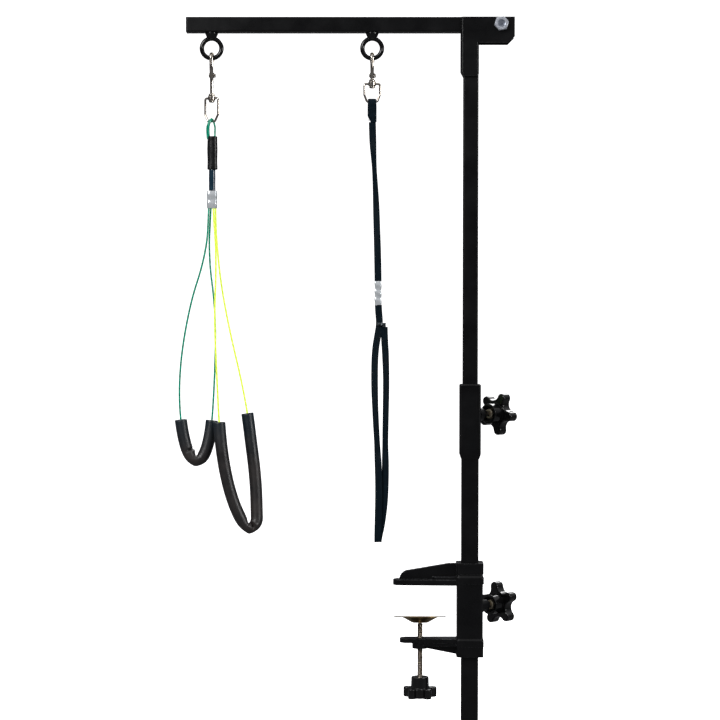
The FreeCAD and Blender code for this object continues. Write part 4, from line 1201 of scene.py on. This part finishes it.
# %% [markdown]
# ### Clamp screw
# The clamp's screw is threaded up to a plain shoulder. Above it a thin neck carries the
# pressure pad, which is held on by the end of the screw, riveted over.

# %% Clamp screw
BODY_RADIUS, SHOULDER_RADIUS, NECK_RADIUS, RIVET_RADIUS = 0.00395, 0.00315, 0.0026, 0.0038
NECK_LENGTH = 0.0071
RIVET_HEIGHT = 0.0015
THREAD_FROM = 0.022
screw_low, screw_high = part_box("clamp_screw")
rod_length = screw_high.z - screw_low.z
neck_from = rod_length - NECK_LENGTH
threaded_rod("clamp_rod", (0, 0, screw_low.z), (0, 0, 1), [
    (0.0, BODY_RADIUS), (neck_from - 0.0008, BODY_RADIUS), (neck_from, SHOULDER_RADIUS),
    (neck_from + 0.00001, NECK_RADIUS), (rod_length - RIVET_HEIGHT, NECK_RADIUS),
    (rod_length - RIVET_HEIGHT + 0.00001, RIVET_RADIUS), (rod_length - 0.0004, 0.0032),
    (rod_length, TIP)],
    (THREAD_FROM, neck_from - 0.0009), "nickel_steel", "clamp_screw", ["clamp_screw"])
print("clamp rod", round(rod_length * 1000, 1), "mm long")

# %% [markdown]
# ## Floor, light and backdrop
# A pale floor sweeps up behind the object. A soft light stands at the front left, a weaker
# one at the right, and a large one behind, high up, which draws a bright line along the
# top edges. The floor and sky are white where they are seen directly, and much darker to
# every other ray, because a white room would turn the black paint grey.

# %% Floor and lights
FLOOR_GAP = 0.001
SHEET_HALF_WIDTH = 6.0
SHEET_FRONT, SHEET_BACK, SHEET_TOP = -5.0, 3.0, 6.0
BEND_RADIUS = 1.5
BEND_STEPS = 12


def studio():
    """A pale floor and backdrop in one swept sheet, and three soft lights."""
    floor_height = cad_box[0].z - FLOOR_GAP
    profile = [(SHEET_FRONT, 0.0), (SHEET_BACK, 0.0)]
    for i in range(1, BEND_STEPS + 1):
        angle = math.radians(90 * i / BEND_STEPS)
        profile.append((SHEET_BACK + BEND_RADIUS * math.sin(angle),
                        BEND_RADIUS * (1 - math.cos(angle))))
    profile.append((SHEET_BACK + BEND_RADIUS, SHEET_TOP))
    points = []
    for y, z in profile:
        points += [(x, y, floor_height + z) for x in (-SHEET_HALF_WIDTH, SHEET_HALF_WIDTH)]
    faces = [(2 * i, 2 * i + 1, 2 * i + 3, 2 * i + 2) for i in range(len(profile) - 1)]
    mesh = bpy.data.meshes.new("pale_floor")
    mesh.from_pydata(points, [], faces)
    mesh.shade_smooth()
    paper = bpy.data.materials.new("pale_paper")
    paper.use_nodes = True
    tree = paper.node_tree
    surface = tree.nodes["Principled BSDF"]
    fibres = place(tree, "ShaderNodeTexNoise", {"Scale": 60.0, "Detail": 6.0}).outputs["Fac"]
    pale = blend_colours(tree, fibres, (0.90, 0.90, 0.90, 1.0), (0.94, 0.94, 0.94, 1.0))
    seen_directly = place(tree, "ShaderNodeLightPath").outputs["Is Camera Ray"]
    to_other_rays = (0.12, 0.12, 0.125, 1.0)
    shade = blend_colours(tree, seen_directly, to_other_rays, pale)
    tree.links.new(shade, surface.inputs["Base Color"])
    surface.inputs["Roughness"].default_value = 0.9
    surface.inputs["Emission Color"].default_value = (1.0, 1.0, 1.0, 1.0)
    tree.links.new(seen_directly, surface.inputs["Emission Strength"])
    mesh.materials.append(paper)
    floor = bpy.data.objects.new("pale_floor", mesh)
    bpy.context.scene.collection.objects.link(floor)


def soft_light(name, place_at, size, power):
    """A square area light aimed at the middle of the object."""
    data = bpy.data.lights.new(name, "AREA")
    data.shape = "SQUARE"
    data.size = size
    data.energy = power
    light = bpy.data.objects.new(name, data)
    bpy.context.scene.collection.objects.link(light)
    middle = (cad_box[0] + cad_box[1]) / 2
    light.location = place_at
    light.rotation_mode = "QUATERNION"
    light.rotation_quaternion = (middle - Vector(place_at)).to_track_quat("-Z", "Y")
    print(name, "gives", power, "W")


studio()
soft_light("key_light", (-1.9, -2.4, 1.9), size=1.1, power=46.0)
soft_light("fill_light", (2.3, -1.6, 0.9), size=0.7, power=20.0)
soft_light("back_light", (0.7, 2.0, 2.2), size=1.4, power=44.0)

# %% [markdown]
# The sky is a ramp from below to above, brightest at the top and darkest near the horizon.
# Polished hooks and crushed metal mirror it as bands of light and dark, which is most of
# what makes them look like metal.

# %% Sky
SKY_BANDS = [(0.46, (0.05, 0.05, 0.055, 1)), (0.62, (0.16, 0.16, 0.17, 1))]
world = bpy.data.worlds.new("pale_room")
bpy.context.scene.world = world
world.use_nodes = True
sky = world.node_tree
around = place(sky, "ShaderNodeTexCoord").outputs["Generated"]
upward = place(sky, "ShaderNodeSeparateXYZ", {0: around}).outputs["Z"]
ramp = place(sky, "ShaderNodeValToRGB", {0: rescale(sky, upward, -1.0, 1.0)})
ramp.color_ramp.elements[0].color = (0.30, 0.30, 0.31, 1)
ramp.color_ramp.elements[1].color = (0.75, 0.75, 0.76, 1)
for height, grey in SKY_BANDS:
    ramp.color_ramp.elements.new(height).color = grey
seen_directly = place(sky, "ShaderNodeLightPath").outputs["Is Camera Ray"]
room = blend_colours(sky, seen_directly, ramp.outputs[0], (1.0, 1.0, 1.0, 1.0))
backdrop = sky.nodes["Background"]
sky.links.new(room, backdrop.inputs["Color"])
backdrop.inputs["Strength"].default_value = 1.0
bpy.context.scene.view_settings.view_transform = "Standard"
print("sky has", len(ramp.color_ramp.elements), "bands")
